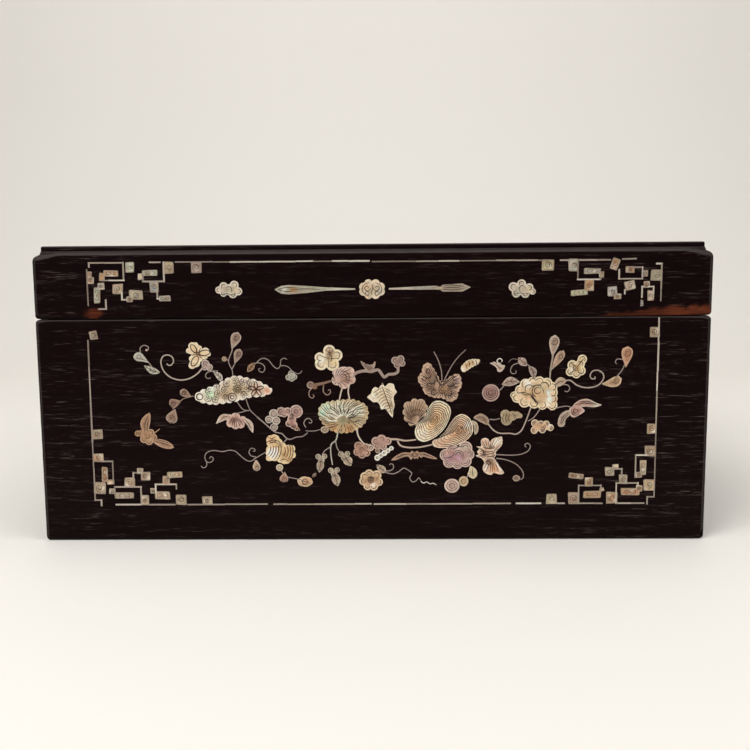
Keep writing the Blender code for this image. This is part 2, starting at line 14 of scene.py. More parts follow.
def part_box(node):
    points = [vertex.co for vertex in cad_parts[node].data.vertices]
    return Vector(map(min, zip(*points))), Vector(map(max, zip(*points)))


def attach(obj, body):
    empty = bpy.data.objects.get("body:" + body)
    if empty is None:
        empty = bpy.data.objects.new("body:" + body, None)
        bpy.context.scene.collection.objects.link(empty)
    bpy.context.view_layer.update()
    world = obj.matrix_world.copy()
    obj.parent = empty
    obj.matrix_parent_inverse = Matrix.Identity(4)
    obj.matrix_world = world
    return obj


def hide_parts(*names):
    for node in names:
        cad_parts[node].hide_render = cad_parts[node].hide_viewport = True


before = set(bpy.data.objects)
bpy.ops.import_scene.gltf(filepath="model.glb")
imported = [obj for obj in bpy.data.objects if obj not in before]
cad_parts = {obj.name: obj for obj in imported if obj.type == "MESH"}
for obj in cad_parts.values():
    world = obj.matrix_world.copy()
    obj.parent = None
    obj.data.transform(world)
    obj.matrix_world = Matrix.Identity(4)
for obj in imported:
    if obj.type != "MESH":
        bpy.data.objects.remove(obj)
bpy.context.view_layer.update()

bl_info = {
    "name": "Inlaid Box Finish",
    "version": (1, 0, 0),
    "blender": (4, 5, 0),
    "location": "View3D > Sidebar > Inlaid Box",
    "description": "Builds the boards, the engraved nacre and the studio of a lidded box",
    "category": "Object",
}

MM = 0.001

# Sizes that the boards and the inlay share with the solid model, in metres
HALF_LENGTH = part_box("body_front")[1].x
HALF_DEPTH = -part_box("body_front")[0].y
LIP_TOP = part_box("body_front")[1].z
LID_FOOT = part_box("lid_front")[0].z
SHOULDER_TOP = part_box("lid_front")[1].z
FIELD_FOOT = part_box("lid_top")[0].z
FIELD_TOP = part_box("lid_top")[1].z
FIELD_INSET = HALF_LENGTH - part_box("lid_top")[1].x
LIP_HEIGHT = 3.6 * MM
BODY_TOP = LIP_TOP - LIP_HEIGHT
SHOULDER_RISE = 1.5 * MM
LID_ARRIS = SHOULDER_TOP - SHOULDER_RISE
WALL = 10.0 * MM
CORNER_ROUND = 2.0 * MM
PLATE = 0.7 * MM
BORDER_INSET = 25.8 * MM

# Sizes of the inlay in drawing millimetres: the border strips, and the height by which one plate
# stands over the one before it, so that no two tops lie in one plane
STRIP = 0.9
LAYER = 0.004

# Edges that fold by more than this are drawn sharp
SHARP_FOLD = math.radians(38)

SIDES = {"front": 0, "right": 90, "back": 180, "left": 270}


def linear(hexed):
    """An sRGB hex colour as the linear numbers that Blender's sockets take."""
    parts = [int(hexed[place:place + 2], 16) / 255 for place in (0, 2, 4)]
    return tuple(part / 12.92 if part <= 0.04045 else ((part + 0.055) / 1.055) ** 2.4 for part in parts)


def length_property(name, says, millimetres):
    return FloatProperty(name=name, description=says, default=millimetres * MM, unit="LENGTH", precision=5)


def colour_property(name, says, hexed):
    return FloatVectorProperty(name=name, description=says, default=linear(hexed), size=3, min=0, max=1,
                               subtype="COLOR")


class BoxWoodProperties(bpy.types.PropertyGroup):
    """What a user would change of the boards."""

    arris: length_property("Arris", "Round of the sharp edges", 0.6)
    seam_wear: length_property("Seam wear", "Round of the edges at the ends of the seam, worn by hands", 1.7)
    lid_wear: length_property("Lid wear", "Round of the lid's top arris at the box's corners", 2.9)
    foot_round: length_property("Foot round", "Round of the bottom edge", 2.0)
    chip: length_property("Corner chip", "Height of the chip at the right front foot", 2.6)
    pore: length_property("Pore width", "Width of the open pores of the wood", 0.35)
    figure: length_property("Figure width", "Width of the lighter streaks in the grain", 2.4)
    heart: colour_property("Heartwood", "Near black wood under old wax", "0a0304")
    streak: colour_property("Streak", "Lighter fibres, dusty where the wax has gone", "4c423e")
    # The worn edge colour also stands for a painted highlight along the arrises
    worn: colour_property("Worn edge", "Rubbed arrises", "4b4341")
    bare: colour_property("Bare wood", "Red wood where the dark surface has flaked off", "6a3420")


class BoxNacreProperties(bpy.types.PropertyGroup):
    """What a user would change of the inlay."""

    proud: length_property("Proud", "How far old nacre stands out of shrunken wood", 0.05)
    fall: length_property("Edge fall", "Width over which a plate's polished edge falls", 0.35)
    grain: length_property("Plate grid", "Spacing of the points inside a plate", 0.85)
    cut: length_property("Engraved line", "Width of a line cut into the nacre", 0.36)
    growth: length_property("Growth lines", "Spacing of the shell's growth lines", 0.5)
    lac: colour_property("Lac", "Dark lac rubbed into the engraved lines", "2c1910")


class BoxStageProperties(bpy.types.PropertyGroup):
    """What a user would change of the studio and the camera."""

    floor: colour_property("Floor", "Plain pale floor and backdrop", "f3efe8")
    key: FloatProperty(name="Key light", description="Power of the soft key light", default=10.5,
                       unit="POWER")
    fill: FloatProperty(name="Fill light", description="Power of the soft fill light", default=5.0,
                        unit="POWER")
    backdrop: FloatProperty(name="Backdrop light", description="Power of the light on the backdrop",
                            default=4.1, unit="POWER")
    sky: FloatProperty(name="Sky", description="Strength of the even light from all round", default=0.45)
    lens: FloatProperty(name="Focal length", description="Focal length in millimetres on a 36 mm sensor",
                        default=42.77)
    eye: FloatVectorProperty(name="Camera place", description="Where the camera stands", unit="LENGTH",
                             default=(0.0085, -0.5206, 0.1426))
    shift: FloatProperty(name="Camera shift", description="Rise of the view, in shares of its width",
                         default=-0.0299)
    aim: FloatVectorProperty(name="Camera aim", description="Pitch down, turn to the right, and roll",
                             subtype="EULER", default=tuple(map(math.radians, (6.85, -0.93, -0.44))))


# Shader nodes

def add_node(tree, kind, values=None, links=None, **settings):
    """One shader node: its own settings, the values of its sockets, and the links into them."""
    made = tree.nodes.new("ShaderNode" + kind)
    for name, value in settings.items():
        setattr(made, name, value)
    for socket, value in (values or {}).items():
        made.inputs[socket].default_value = value
    for socket, source in (links or {}).items():
        tree.links.new(source, made.inputs[socket])
    return made


def new_material(name):
    """An empty material with its shader, or None for the tree if it is there already."""
    found = bpy.data.materials.get(name)
    if found:
        return found, None, None
    made = bpy.data.materials.new(name)
    made.use_nodes = True
    return made, made.node_tree, made.node_tree.nodes["Principled BSDF"]


# Sockets of a Mix node set to colour
MIX_A, MIX_B, MIXED = 6, 7, 2

# Second tones of the materials: the wood's redder depths, a painted sheen on faces that look up, the
# nacre's two lustres, and lac that has worn thin
RED_DEPTHS, PAINTED_SHEEN = "190a0b", "3d3734"
ROSE_LUSTRE, GREEN_LUSTRE = "eecfc0", "eeeeda"
THIN_LAC = "5a3e30"

# Tone of the even light round the scene
DAYLIGHT = "f4f1ec"


def solid_colour(hue):
    return (*hue, 1.0)


def times(tree, first, second):
    """The product of two sockets."""
    return add_node(tree, "Math", links={0: first, 1: second}, operation="MULTIPLY").outputs[0]


def ranged(tree, source, low, high, first=0.0, last=1.0):
    """A socket stretched so that low to high becomes first to last."""
    spans = {"From Min": low, "From Max": high, "To Min": first, "To Max": last}
    return add_node(tree, "MapRange", spans, {"Value": source}).outputs[0]


def laid_over(tree, under, hue, share):
    """A colour laid over what is under it, as thickly as a socket says."""
    return add_node(tree, "Mix", {MIX_B: solid_colour(hue)}, {"Factor": share, MIX_A: under},
                    data_type="RGBA").outputs[MIXED]


def grain(tree, spot, along, width, detail, roughness, distortion):
    """Noise drawn out along the boards: so many waves a metre that way, and width apart across."""
    placed = add_node(tree, "Mapping", {"Scale": (along, 1 / width, 1 / width)}, {"Vector": spot})
    values = {"Scale": 1.0, "Detail": detail, "Roughness": roughness, "Distortion": distortion}
    return add_node(tree, "TexNoise", values, {"Vector": placed.outputs[0]}).outputs["Fac"]


def waxed_hardwood():
    """Very dark hardwood, planed, stained and waxed long ago.

    The eye sees near black boards with long open pores, lighter dusty fibres made stronger towards the ends
    as a painted sheen, a painted sheen on faces that look up, grey rubbed arrises lightened further by a
    painted highlight, and red wood where the surface has flaked.
    """
    looks = bpy.context.scene.box_wood
    made, tree, shader = new_material("waxed_dark_hardwood")
    if tree is None:
        return made
    spot = add_node(tree, "TexCoord").outputs["Object"]
    pores = grain(tree, spot, 130, looks.pore, 2.0, 0.55, 0.25)
    figure = grain(tree, spot, 26, looks.figure, 4.0, 0.7, 0.6)

    # Lighter fibres of the grain, made stronger towards the boards' ends as a painted sheen
    across = add_node(tree, "SeparateXYZ", links={"Vector": spot}).outputs["X"]
    out = add_node(tree, "Math", links={0: across}, operation="ABSOLUTE").outputs[0]
    fibres = times(tree, ranged(tree, pores, 0.57, 0.66), ranged(tree, figure, 0.48, 0.60))
    fibres_with_end_sheen = times(tree, fibres, ranged(tree, out, 0.070, 0.145, 0.30, 1.0))
    depths = add_node(tree, "Mix", {MIX_A: solid_colour(looks.heart),
                                    MIX_B: solid_colour(linear(RED_DEPTHS))},
                      {"Factor": figure}, data_type="RGBA").outputs[MIXED]
    fibred = laid_over(tree, depths, looks.streak, fibres_with_end_sheen)

    # Painted sheen on faces that look up, as of light from above, following the pores
    facing = add_node(tree, "NewGeometry").outputs["Normal"]
    upward = add_node(tree, "SeparateXYZ", links={"Vector": facing}).outputs["Z"]
    painted_sheen_share = times(tree, ranged(tree, upward, 0.15, 0.95, 0.0, 1.5), pores)
    sheened = laid_over(tree, fibred, linear(PAINTED_SHEEN), painted_sheen_share)

    # Rubbed arrises, lightened also as a painted highlight along them, and bare patches,
    # which the boards' meshes mark
    wear = add_node(tree, "Attribute", attribute_name="wear").outputs["Fac"]
    rubbed_and_highlit = laid_over(tree, sheened, looks.worn, times(tree, wear, pores))
    bare = add_node(tree, "Attribute", attribute_name="bare").outputs["Fac"]
    flaked = times(tree, bare, ranged(tree, figure, 0.32, 0.58))
    final = laid_over(tree, rubbed_and_highlit, looks.bare, flaked)

    gloss = ranged(tree, pores, 0.3, 0.7, 0.36, 0.60)
    dents = add_node(tree, "Bump", {"Strength": 0.45, "Distance": 0.00010}, {"Height": pores}).outputs[0]
    tree.links.new(final, shader.inputs["Base Color"])
    tree.links.new(gloss, shader.inputs["Roughness"])
    tree.links.new(dents, shader.inputs["Normal"])
    shader.inputs["Specular IOR Level"].default_value = 0.045
    return made


def polished_nacre():
    """Mother-of-pearl, sawn thin, rubbed flat and polished.

    The eye sees the plate's own tone, fine wavy growth lines, and slow drifts of green and rose.
    """
    looks = bpy.context.scene.box_nacre
    made, tree, shader = new_material("polished_mother_of_pearl")
    if tree is None:
        return made
    spot = add_node(tree, "TexCoord").outputs["Object"]
    tone = add_node(tree, "Attribute", attribute_name="tone").outputs["Color"]
    drift = add_node(tree, "TexNoise", {"Scale": 330.0, "Detail": 2.0, "Distortion": 0.8}, {"Vector": spot})
    lustre = add_node(tree, "ValToRGB", links={"Fac": drift.outputs["Fac"]})
    lustre.color_ramp.elements[0].position = 0.30
    lustre.color_ramp.elements[0].color = solid_colour(linear(ROSE_LUSTRE))
    lustre.color_ramp.elements[1].position = 0.72
    lustre.color_ramp.elements[1].color = solid_colour(linear(GREEN_LUSTRE))
    lustre.color_ramp.elements.new(0.50).color = (1.0, 1.0, 1.0, 1.0)
    tinted = add_node(tree, "Mix", {"Factor": 0.40}, {MIX_A: tone, MIX_B: lustre.outputs["Color"]},
                      data_type="RGBA", blend_type="MULTIPLY").outputs[MIXED]
    growth = add_node(tree, "TexWave", {"Scale": 0.3 / looks.growth, "Distortion": 7.0, "Detail": 2.0,
                                        "Detail Scale": 1.4},
                      {"Vector": spot}, bands_direction="DIAGONAL").outputs["Fac"]
    shine = ranged(tree, growth, 0.0, 1.0, 0.84, 1.0)
    lined = add_node(tree, "Mix", {"Factor": 1.0}, {MIX_A: tinted, MIX_B: shine}, data_type="RGBA",
                     blend_type="MULTIPLY").outputs[MIXED]
    gloss = ranged(tree, growth, 0.0, 1.0, 0.20, 0.36)
    ripple = add_node(tree, "Bump", {"Strength": 0.25, "Distance": 0.00008}, {"Height": growth}).outputs[0]
    tree.links.new(lined, shader.inputs["Base Color"])
    tree.links.new(gloss, shader.inputs["Roughness"])
    tree.links.new(ripple, shader.inputs["Normal"])
    shader.inputs["IOR"].default_value = 1.56
    return made


def rubbed_lac():
    """Dark lac rubbed into engraved lines: dull, nearly black, a little brown where it has worn."""
    looks = bpy.context.scene.box_nacre
    made, tree, shader = new_material("rubbed_dark_lac")
    if tree is None:
        return made
    spot = add_node(tree, "TexCoord").outputs["Object"]
    worn = add_node(tree, "TexNoise", {"Scale": 900.0, "Detail": 2.0}, {"Vector": spot}).outputs["Fac"]
    thin = ranged(tree, worn, 0.56, 0.84)
    hue = add_node(tree, "Mix", {MIX_A: solid_colour(looks.lac), MIX_B: solid_colour(linear(THIN_LAC))},
                   {"Factor": thin}, data_type="RGBA").outputs[MIXED]
    tree.links.new(hue, shader.inputs["Base Color"])
    shader.inputs["Roughness"].default_value = 0.55
    return made


# Boards

def mesh_object(name, mesh, materials, place=None):
    """A shown piece that rides on the box."""
    made = bpy.data.objects.new(name, mesh)
    bpy.context.scene.collection.objects.link(made)
    for surface in materials:
        mesh.materials.append(surface)
    made.matrix_world = place or Matrix.Identity(4)
    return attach(made, "root")


def quarter(radius, first, last, steps=4):
    """Points of a rounded edge as (inset, rise), both measured from the sharp edge."""
    for step in range(steps + 1):
        angle = math.radians(first + (last - first) * step / steps)
        yield radius * (1 - math.sin(angle)), radius * (1 - math.cos(angle))


def rise_between(inset, low, high, spacing=4 * MM):
    """Points up a flat face."""
    count = max(2, round((high - low) / spacing))
    return [(inset, low + (high - low) * step / count) for step in range(1, count)]


def body_profile(seam, foot):
    """The section of a body wall as (inset, height), from its underside out, up and back down inside."""
    arris = [(inset, BODY_TOP - rise) for inset, rise in quarter(seam, 90, 0)]
    lip, chamfer = 5.2 * MM, 0.4 * MM
    groove, groove_foot, groove_top = 6.0 * MM, 3.0 * MM, 11.6 * MM
    return [*quarter(foot, 0, 90), *rise_between(0, foot, BODY_TOP - seam), *arris, (lip, BODY_TOP),
            (lip, LIP_TOP - chamfer), (lip + chamfer, LIP_TOP), (WALL, LIP_TOP), (WALL, groove_top),
            (groove, groove_top), (groove, groove_foot), (WALL, groove_foot), (WALL, 0)]


def lid_profile(seam, arris_round, sag):
    """The section of a lid rail as (inset, height)."""
    foot = [(inset, LID_FOOT + rise) for inset, rise in quarter(seam, 0, 90)]
    arris = [(inset, LID_ARRIS - sag - rise) for inset, rise in quarter(arris_round, 90, 30)]
    land, bow_steps, row = 3.6 * MM, 6, 1.2 * MM
    bow = [(arris_round + (land - arris_round) * step / bow_steps,
            LID_ARRIS - sag + (SHOULDER_RISE + sag * step / bow_steps) * math.sin(math.radians(15 * step)))
           for step in range(1, bow_steps + 1)]
    rebate, recess, gap = 4.0 * MM, 4.9 * MM, 0.3 * MM
    ledge, clear = FIELD_FOOT - gap, LIP_TOP + gap
    return [*foot, *rise_between(0, LID_FOOT + seam, LID_ARRIS - arris_round, row), *arris, *bow,
            (rebate, SHOULDER_TOP), (rebate, ledge), (WALL, ledge), (WALL, clear), (recess, clear),
            (recess, LID_FOOT)]


def closed_mesh(name, shape, rings):
    """The mesh of a closed grid: rings of vertices, joined one to the next and capped at both ends."""
    count = len(rings[0])
    for before, after in zip(rings, rings[1:]):
        for here in range(count):
            there = (here + 1) % count
            shape.faces.new((before[here], after[here], after[there], before[there]))
    shape.faces.new(rings[0])
    shape.faces.new(rings[-1][::-1])
    bmesh.ops.recalc_face_normals(shape, faces=shape.faces)
    mesh = bpy.data.meshes.new(name)
    shape.to_mesh(mesh)
    shape.free()
    mesh.shade_smooth()
    mesh.set_sharp_from_angle(angle=SHARP_FOLD)
    return mesh


def sound_wood(x, z):
    """No bare patch anywhere on a board."""
    return 0.0


def chip_corner(point, height, chip):
    """Knocks a corner off at the foot: its points move back from both faces, and up."""
    top, back, lift = 1.2, 0.35, 0.55
    if height < chip * top:
        point.x -= chip * back
        point.y += chip * back
        point.z = max(point.z, chip * lift * (top - height / chip))


def board(name, profile_at, half, out, turn, bare, chip):
    """One mitred board as a closed grid, swept along its length and rounded at the box's corners."""
    mitre_gap, mitre_set_back = 0.04 * MM, 1 * MM
    worn_width, worn_dent, plain_dent = 1.2 * MM, 0.10 * MM, 0.02 * MM
    waves_along, waves_up = 240, 700
    dark_foot, face_depth = 2 * MM, 2 * MM
    straight, turning = 150, 6
    stations = [(-1, 1.0, turning - step) for step in range(turning)]
    stations += [(math.copysign(1, step - straight / 2), abs(2 * step / straight - 1), 0)
                 for step in range(straight + 1)]
    stations += [(1, 1.0, step + 1) for step in range(turning)]
    shape = bmesh.new()
    wear_and_highlight_layer = shape.verts.layers.float.new("wear")
    bare_layer = shape.verts.layers.float.new("bare")
    rings = []
    for side, share, corner in stations:
        ring = []
        profile = profile_at(side * share * half)
        for inset, height in profile:
            reach = max(inset, CORNER_ROUND)
            held = 0.0 if inset < CORNER_ROUND else mitre_set_back
            x, y = share * (half - reach - held), -out + inset
            if corner and inset < CORNER_ROUND:
                angle = math.radians(45 * corner / turning)
                x = half - CORNER_ROUND + (CORNER_ROUND - inset) * math.sin(angle)
                y = -out + CORNER_ROUND - (CORNER_ROUND - inset) * math.cos(angle)
            elif corner:
                x += held * corner / turning
            if corner == turning:
                x -= mitre_gap
            point = Vector((side * x, y, height))
            edge = 0.0
            if inset < WALL / 2:
                rough = noise.noise(Vector((point.x * waves_along, turn, point.z * waves_up)))
                # Arrises away from the feet are marked as rubbed and as a painted highlight
                rubbed = dark_foot < height <= BODY_TOP or height > LID_FOOT + dark_foot
                edge = 1.0 if rubbed and (0 < inset < worn_width or corner) else 0.0
                point.y += (worn_dent if edge else plain_dent) * max(0.0, rough + 0.1)
            if side > 0 and corner:
                chip_corner(point, height, chip)
            vert = shape.verts.new(point)
            vert[wear_and_highlight_layer] = edge * (0.45 + 0.55 * max(0.0, 1 - corner / turning))
            vert[bare_layer] = bare(point.x, point.z) if inset < face_depth else 0.0
            ring.append(vert)
        rings.append(ring)
    place = Matrix.Rotation(math.radians(turn), 4, "Z")
    made = mesh_object(name, closed_mesh(name, shape, rings), [waxed_hardwood()], place)
    return made


def seam_round(x, half):
    """The seam's arris, which hands have worn rounder at the ends of each wall."""
    looks = bpy.context.scene.box_wood
    reach = 6 * MM
    near_end = max(0.0, 1 - (half - abs(x)) / reach)
    return looks.arris + (looks.seam_wear - looks.arris) * near_end ** 2


def lid_flakes(x, z):
    """Where the lid's dark surface has flaked: a spot at the left, a long wedge at the right."""
    ragged = 1 + 0.5 * noise.noise(Vector((x * 260, z * 500, 3)))
    spot_x, spot_rise, spot_width, spot_height = -131.8 * MM, 2.2 * MM, 3.6 * MM, 3.4 * MM
    from_spot = math.hypot((x - spot_x) / spot_width, (z - LID_FOOT - spot_rise) / spot_height)
    spot = 1 - from_spot * ragged
    wedge_start, wedge_length, wedge_height = 106 * MM, 36 * MM, 5.0 * MM
    along = (x - wedge_start) / wedge_length
    height = wedge_height * min(1.0, along) * ragged if along > 0 else 0.0
    wedge = 1 - (z - LID_FOOT) / height if height > 0 else 0.0
    spot_depth = 0.25 * min(1.0, max(0.0, 9 * spot))
    return min(1.0, 3.0 * max(spot_depth, wedge))


def lid_arris(x, half):
    """The round and the sag of the lid's top arris, which is worn down at the corners of the box."""
    looks = bpy.context.scene.box_wood
    reach, deepest = 10 * MM, 0.5 * MM
    near_end = max(0.0, 1 - (half - abs(x)) / reach)
    return looks.arris + (looks.lid_wear - looks.arris) * near_end ** 0.7, deepest * near_end


def make_boards(prefix, profile_at, bare, chip):
    """The four boards round the body or the lid; only the front one is chipped or flaked."""
    for side, turn in SIDES.items():
        half, out = (HALF_LENGTH, HALF_DEPTH) if turn % 180 == 0 else (HALF_DEPTH, HALF_LENGTH)
        made = board(f"worn_{prefix}_{side}", lambda x, half=half: profile_at(x, half), half, out, turn,
                     bare if side == "front" else sound_wood, chip if side == "front" else 0.0)
        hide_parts(f"{prefix}_{side}")


def field_board():
    """The lid's board, a flat field with its top edge eased."""
    half_x, half_y = HALF_LENGTH - FIELD_INSET, HALF_DEPTH - FIELD_INSET
    ease, row, unevenness = 0.8 * MM, 2 * MM, 0.06 * MM
    levels = [(0.0, FIELD_FOOT), *rise_between(0.0, FIELD_FOOT, FIELD_TOP - ease, row)]
    levels += [(inset, FIELD_TOP - rise) for inset, rise in quarter(ease, 90, 0)]
    shares = [-1 + step / 12 for step in range(24)]
    loop = [(share, -1) for share in shares] + [(1, share) for share in shares]
    loop += [(-x, -y) for x, y in loop]
    shape = bmesh.new()
    wear_and_highlight_layer = shape.verts.layers.float.new("wear")
    rings = []
    for inset, height in levels:
        ring = []
        for x, y in loop:
            back = inset + unevenness * abs(noise.noise(Vector((x * 9, y * 9, height * 300))))
            vert = shape.verts.new((x * (half_x - back), y * (half_y - back), height))
            # The eased top edge is marked as rubbed and as a painted highlight
            vert[wear_and_highlight_layer] = 0.7 if 0 < inset < ease else 0.0
            ring.append(vert)
        rings.append(ring)
    made = mesh_object("worn_lid_top", closed_mesh("worn_lid_top", shape, rings), [waxed_hardwood()])
    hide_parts("lid_top")


# Inlay

class Inlay:
    """One group of nacre on a face: plates let into the board, and the lines cut into them.

    Drawing coordinates are millimetres: across the face, up it, and out of it.
    """

    # Places of the two materials in each mesh
    NACRE, LAC = 0, 1
    # How much a plate's tone varies from one plate to the next, how much in clouds within a plate,
    # and how many of those clouds come on a millimetre
    SHIFT, CLOUDS, CLOUDS_PER_MM = 0.06, 0.34, 0.7
    # Least width of a plate's rim, and its share of the plate's narrower way across
    RIM_LEAST, RIM_SHARE = 0.7, 0.30
    # Cut stems look this much thinner than the widths they are given, which were taken from the photo
    STEM_SHARE = 0.68
    # Depth of a cut line's foot under the polished face, and how far its top shows over it
    CUT_DEPTH, CUT_TOP = 0.12, 0.012
    GLINT_DEPTH, GLINT_TOP = 0.1, 0.008
    # Tones of the border's strips, of its tiles, and of the patches in a tile
    STRIP_TONES = ("b5a699", "9c8d82", "8d7e72", "cabdae", "a89b8a", "d8cec0")
    TILE_TONES = ("c8ac88", "bf9f7c", "b1977a", "cfb594", "b8a68c", "c39a74", "d4c0a0")
    TILE_RIM, TILE_PATCHES, TILE_THIRD_PATCH = "a59480", ("efe6d2", "86705a"), ("d8c3a4", "a58a70")

    def __init__(self, name, place=None):
        self.name = name
        self.place = place or face_place("front")
        self.points = []
        self.faces = []
        self.tones = []
        self.kinds = []
        self.lift = 0.0
        self.draw = random.Random(name)

    def add(self, points, faces, tones, kind):
        """Adds a closed piece to the group, with a tone for each point and one material."""
        first = len(self.points)
        self.points += points
        self.tones += tones
        self.faces += [tuple(first + corner for corner in face) for face in faces]
        self.kinds += [kind] * len(faces)

    def plate(self, outline, inner, rim=None, spots=()):
        """A closed plate: its tone runs from rim to inner, with soft spots given as (x, z, reach, tone),
        some of them painted highlights.

        The points inside it and the width of its rim follow the narrower way across it.
        """
        looks = bpy.context.scene.box_nacre
        edge = np.array(list(outline), float)
        narrow = float(np.ptp(edge, axis=0).min())
        gap = min(looks.grain / MM, 0.28 * max(0.8, narrow))
        grid = inside_grid(edge, gap, self.draw)
        count = len(edge)
        flat = [Vector(point) for point in (*edge.tolist(), *grid.tolist())]
        ring = [(here, (here + 1) % count) for here in range(count)]
        verts, _, faces, origin, _, _ = delaunay_2d_cdt(flat, ring, [], 1, 1e-5)
        spread = np.array([tuple(vert) for vert in verts])
        away = edge_distance(spread, edge)
        fall = looks.fall / MM
        self.lift += LAYER
        proud = looks.proud / MM + self.lift
        heights = proud * np.clip(away / fall, 0, 1) ** 0.5
        outer = [here for here, came in enumerate(origin) if any(source < count for source in came)]
        order = sorted(outer, key=lambda here: min(origin[here]))
        top = [(*spread[here], heights[here]) for here in range(len(verts))]
        base = len(top)
        walls = []
        for step, here in enumerate(order):
            after = (step + 1) % len(order)
            walls.append((here, base + step, base + after, order[after]))
        sunk = [(*spread[here], -PLATE / MM) for here in order]
        inner, rim = np.array(linear(inner)), np.array(linear(rim or inner))
        reach = max(self.RIM_LEAST, self.RIM_SHARE * narrow)
        mix = np.clip(away / reach, 0, 1)[:, None]
        hues = rim * (1 - mix) + inner * mix
        # Soft spots: patches of the plate's own tone, and painted highlights in white and mint
        for x, z, radius, hue in spots:
            near = np.exp(-((spread - (x, z)) ** 2).sum(1) / (radius / 1.4) ** 2)[:, None]
            hues = hues * (1 - near) + np.array(linear(hue)) * near
        shift = self.draw.uniform(-self.SHIFT, self.SHIFT)
        places = [Vector((x * self.CLOUDS_PER_MM, z * self.CLOUDS_PER_MM, shift * 90)) for x, z in spread]
        cloud = np.array([noise.noise(spot) for spot in places])[:, None]
        hues = np.clip(hues * (1 + shift + self.CLOUDS * cloud), 0, 1)
        tones = [tuple(hue) for hue in hues] + [tuple(hues[here]) for here in order]
        bottom = tuple(range(base, base + len(order)))
        self.add(top + sunk, [tuple(face) for face in faces] + walls + [bottom[::-1]], tones, self.NACRE)

    def band(self, spine, widths, low, high, tone, kind):
        """A closed strip along a spine, square in section, from one height to another."""
        points, faces = [], []
        last = len(spine) - 1
        self.lift += LAYER / 4
        high += self.lift
        for here, (x, z) in enumerate(spine):
            before, after = spine[max(here - 1, 0)], spine[min(here + 1, last)]
            across = Vector((before[1] - after[1], after[0] - before[0]))
            across = across.normalized() if across.length else Vector((0, 1))
            half = across * widths[here] / 2
            points += [(x + half.x, z + half.y, high), (x - half.x, z - half.y, high),
                       (x - half.x, z - half.y, low), (x + half.x, z + half.y, low)]
        for here in range(last):
            now, then = 4 * here, 4 * here + 4
            for corner in range(4):
                side = (corner + 1) % 4
                faces.append((now + corner, now + side, then + side, then + corner))
        faces.append((3, 2, 1, 0))
        faces.append(tuple(4 * last + corner for corner in range(4)))
        self.add(points, faces, [linear(tone)] * len(points), kind)

    def stem(self, *spine, wide=0.75, thin=0.5, tone="a5958d"):
        """A thin nacre stem or tendril on a smooth line, tapering to its tip."""
        line = smooth(spine, closed=False)
        widths = [self.STEM_SHARE * (wide + (thin - wide) * step / (len(line) - 1))
                  for step in range(len(line))]
        self.band(line, widths, -PLATE / MM, bpy.context.scene.box_nacre.proud / MM * 0.7, tone, self.NACRE)

    def line(self, spine, width=1.0):
        """A line cut into a plate, fine at both ends."""
        looks = bpy.context.scene.box_nacre
        spine = list(spine)
        last = max(1, len(spine) - 1)
        full = looks.cut / MM * width
        widths = [full * (0.55 + 0.45 * math.sin(math.pi * step / last)) for step in range(len(spine))]
        proud = looks.proud / MM
        self.band(spine, widths, proud - self.CUT_DEPTH, proud + self.CUT_TOP, "ffffff", self.LAC)

    def lines(self, spines, width=1.0):
        """Several cut lines of one width."""
        for spine in spines:
            self.line(spine, width)

    def painted_glints(self, spines, width=0.5, tone="fffaf0"):
        """Painted glints: bright strokes laid over a plate between its lines."""
        proud = bpy.context.scene.box_nacre.proud / MM
        for spine in spines:
            spine = list(spine)
            widths = [width * (0.4 + 0.6 * math.sin(math.pi * (step + 0.5) / len(spine)))
                      for step in range(len(spine))]
            self.band(spine, widths, proud - self.GLINT_DEPTH, proud + self.GLINT_TOP, tone, self.NACRE)

    def heap(self, discs, inner, rim=None, spots=(), shares=(0.55,), width=1.0, turn=210):
        """A plate of round lobes given as (x, z, radius).

        Each lobe gets cut lines round its outer side, at shares of its radius and turning so many degrees.
        """
        self.plate(heap_edge(discs), inner, rim, spots)
        middle = heap_middle(discs)
        for x, z, radius in discs:
            lean = math.degrees(math.atan2(z - middle.y, x - middle.x)) + self.draw.uniform(-25, 25)
            for share in shares:
                reach = turn / 2 * self.draw.uniform(0.8, 1.1)
                self.line(arc(x, z, radius * share, lean - reach, lean + reach), width)

    def leaf(self, root, tip, width, inner, rim=None, pairs=3, **shape):
        """A leaf with its middle rib and veins."""
        self.plate(blade(root, tip, width, **shape), inner, rim)
        self.lines(midrib(root, tip, width, pairs, shape.get("bend", 0.0)), 0.8)

    def bud(self, root, tip, width, inner, rim=None, **shape):
        """A closed bud, widest past its middle, with the lines of its folded petals."""
        shape = {"belly": 0.55, "point": 0.55, **shape}
        self.plate(blade(root, tip, width, **shape), inner, rim)
        for fold in range(2):
            self.line(arc(*between(root, tip, 0.70), width * (0.14 + 0.18 * fold), 200 * fold,
                          200 * fold + 260), 0.9)

    def ball(self, x, z, size, inner, rim=None, shares=(0.5,), height=None):
        """A berry or a boss: a round plate with rings cut in it."""
        self.plate(disc(x, z, size, height), inner, rim)
        for share in shares:
            self.line(arc(x, z, size / 2 * share, 0, 360, (height or size) / size), 0.8)

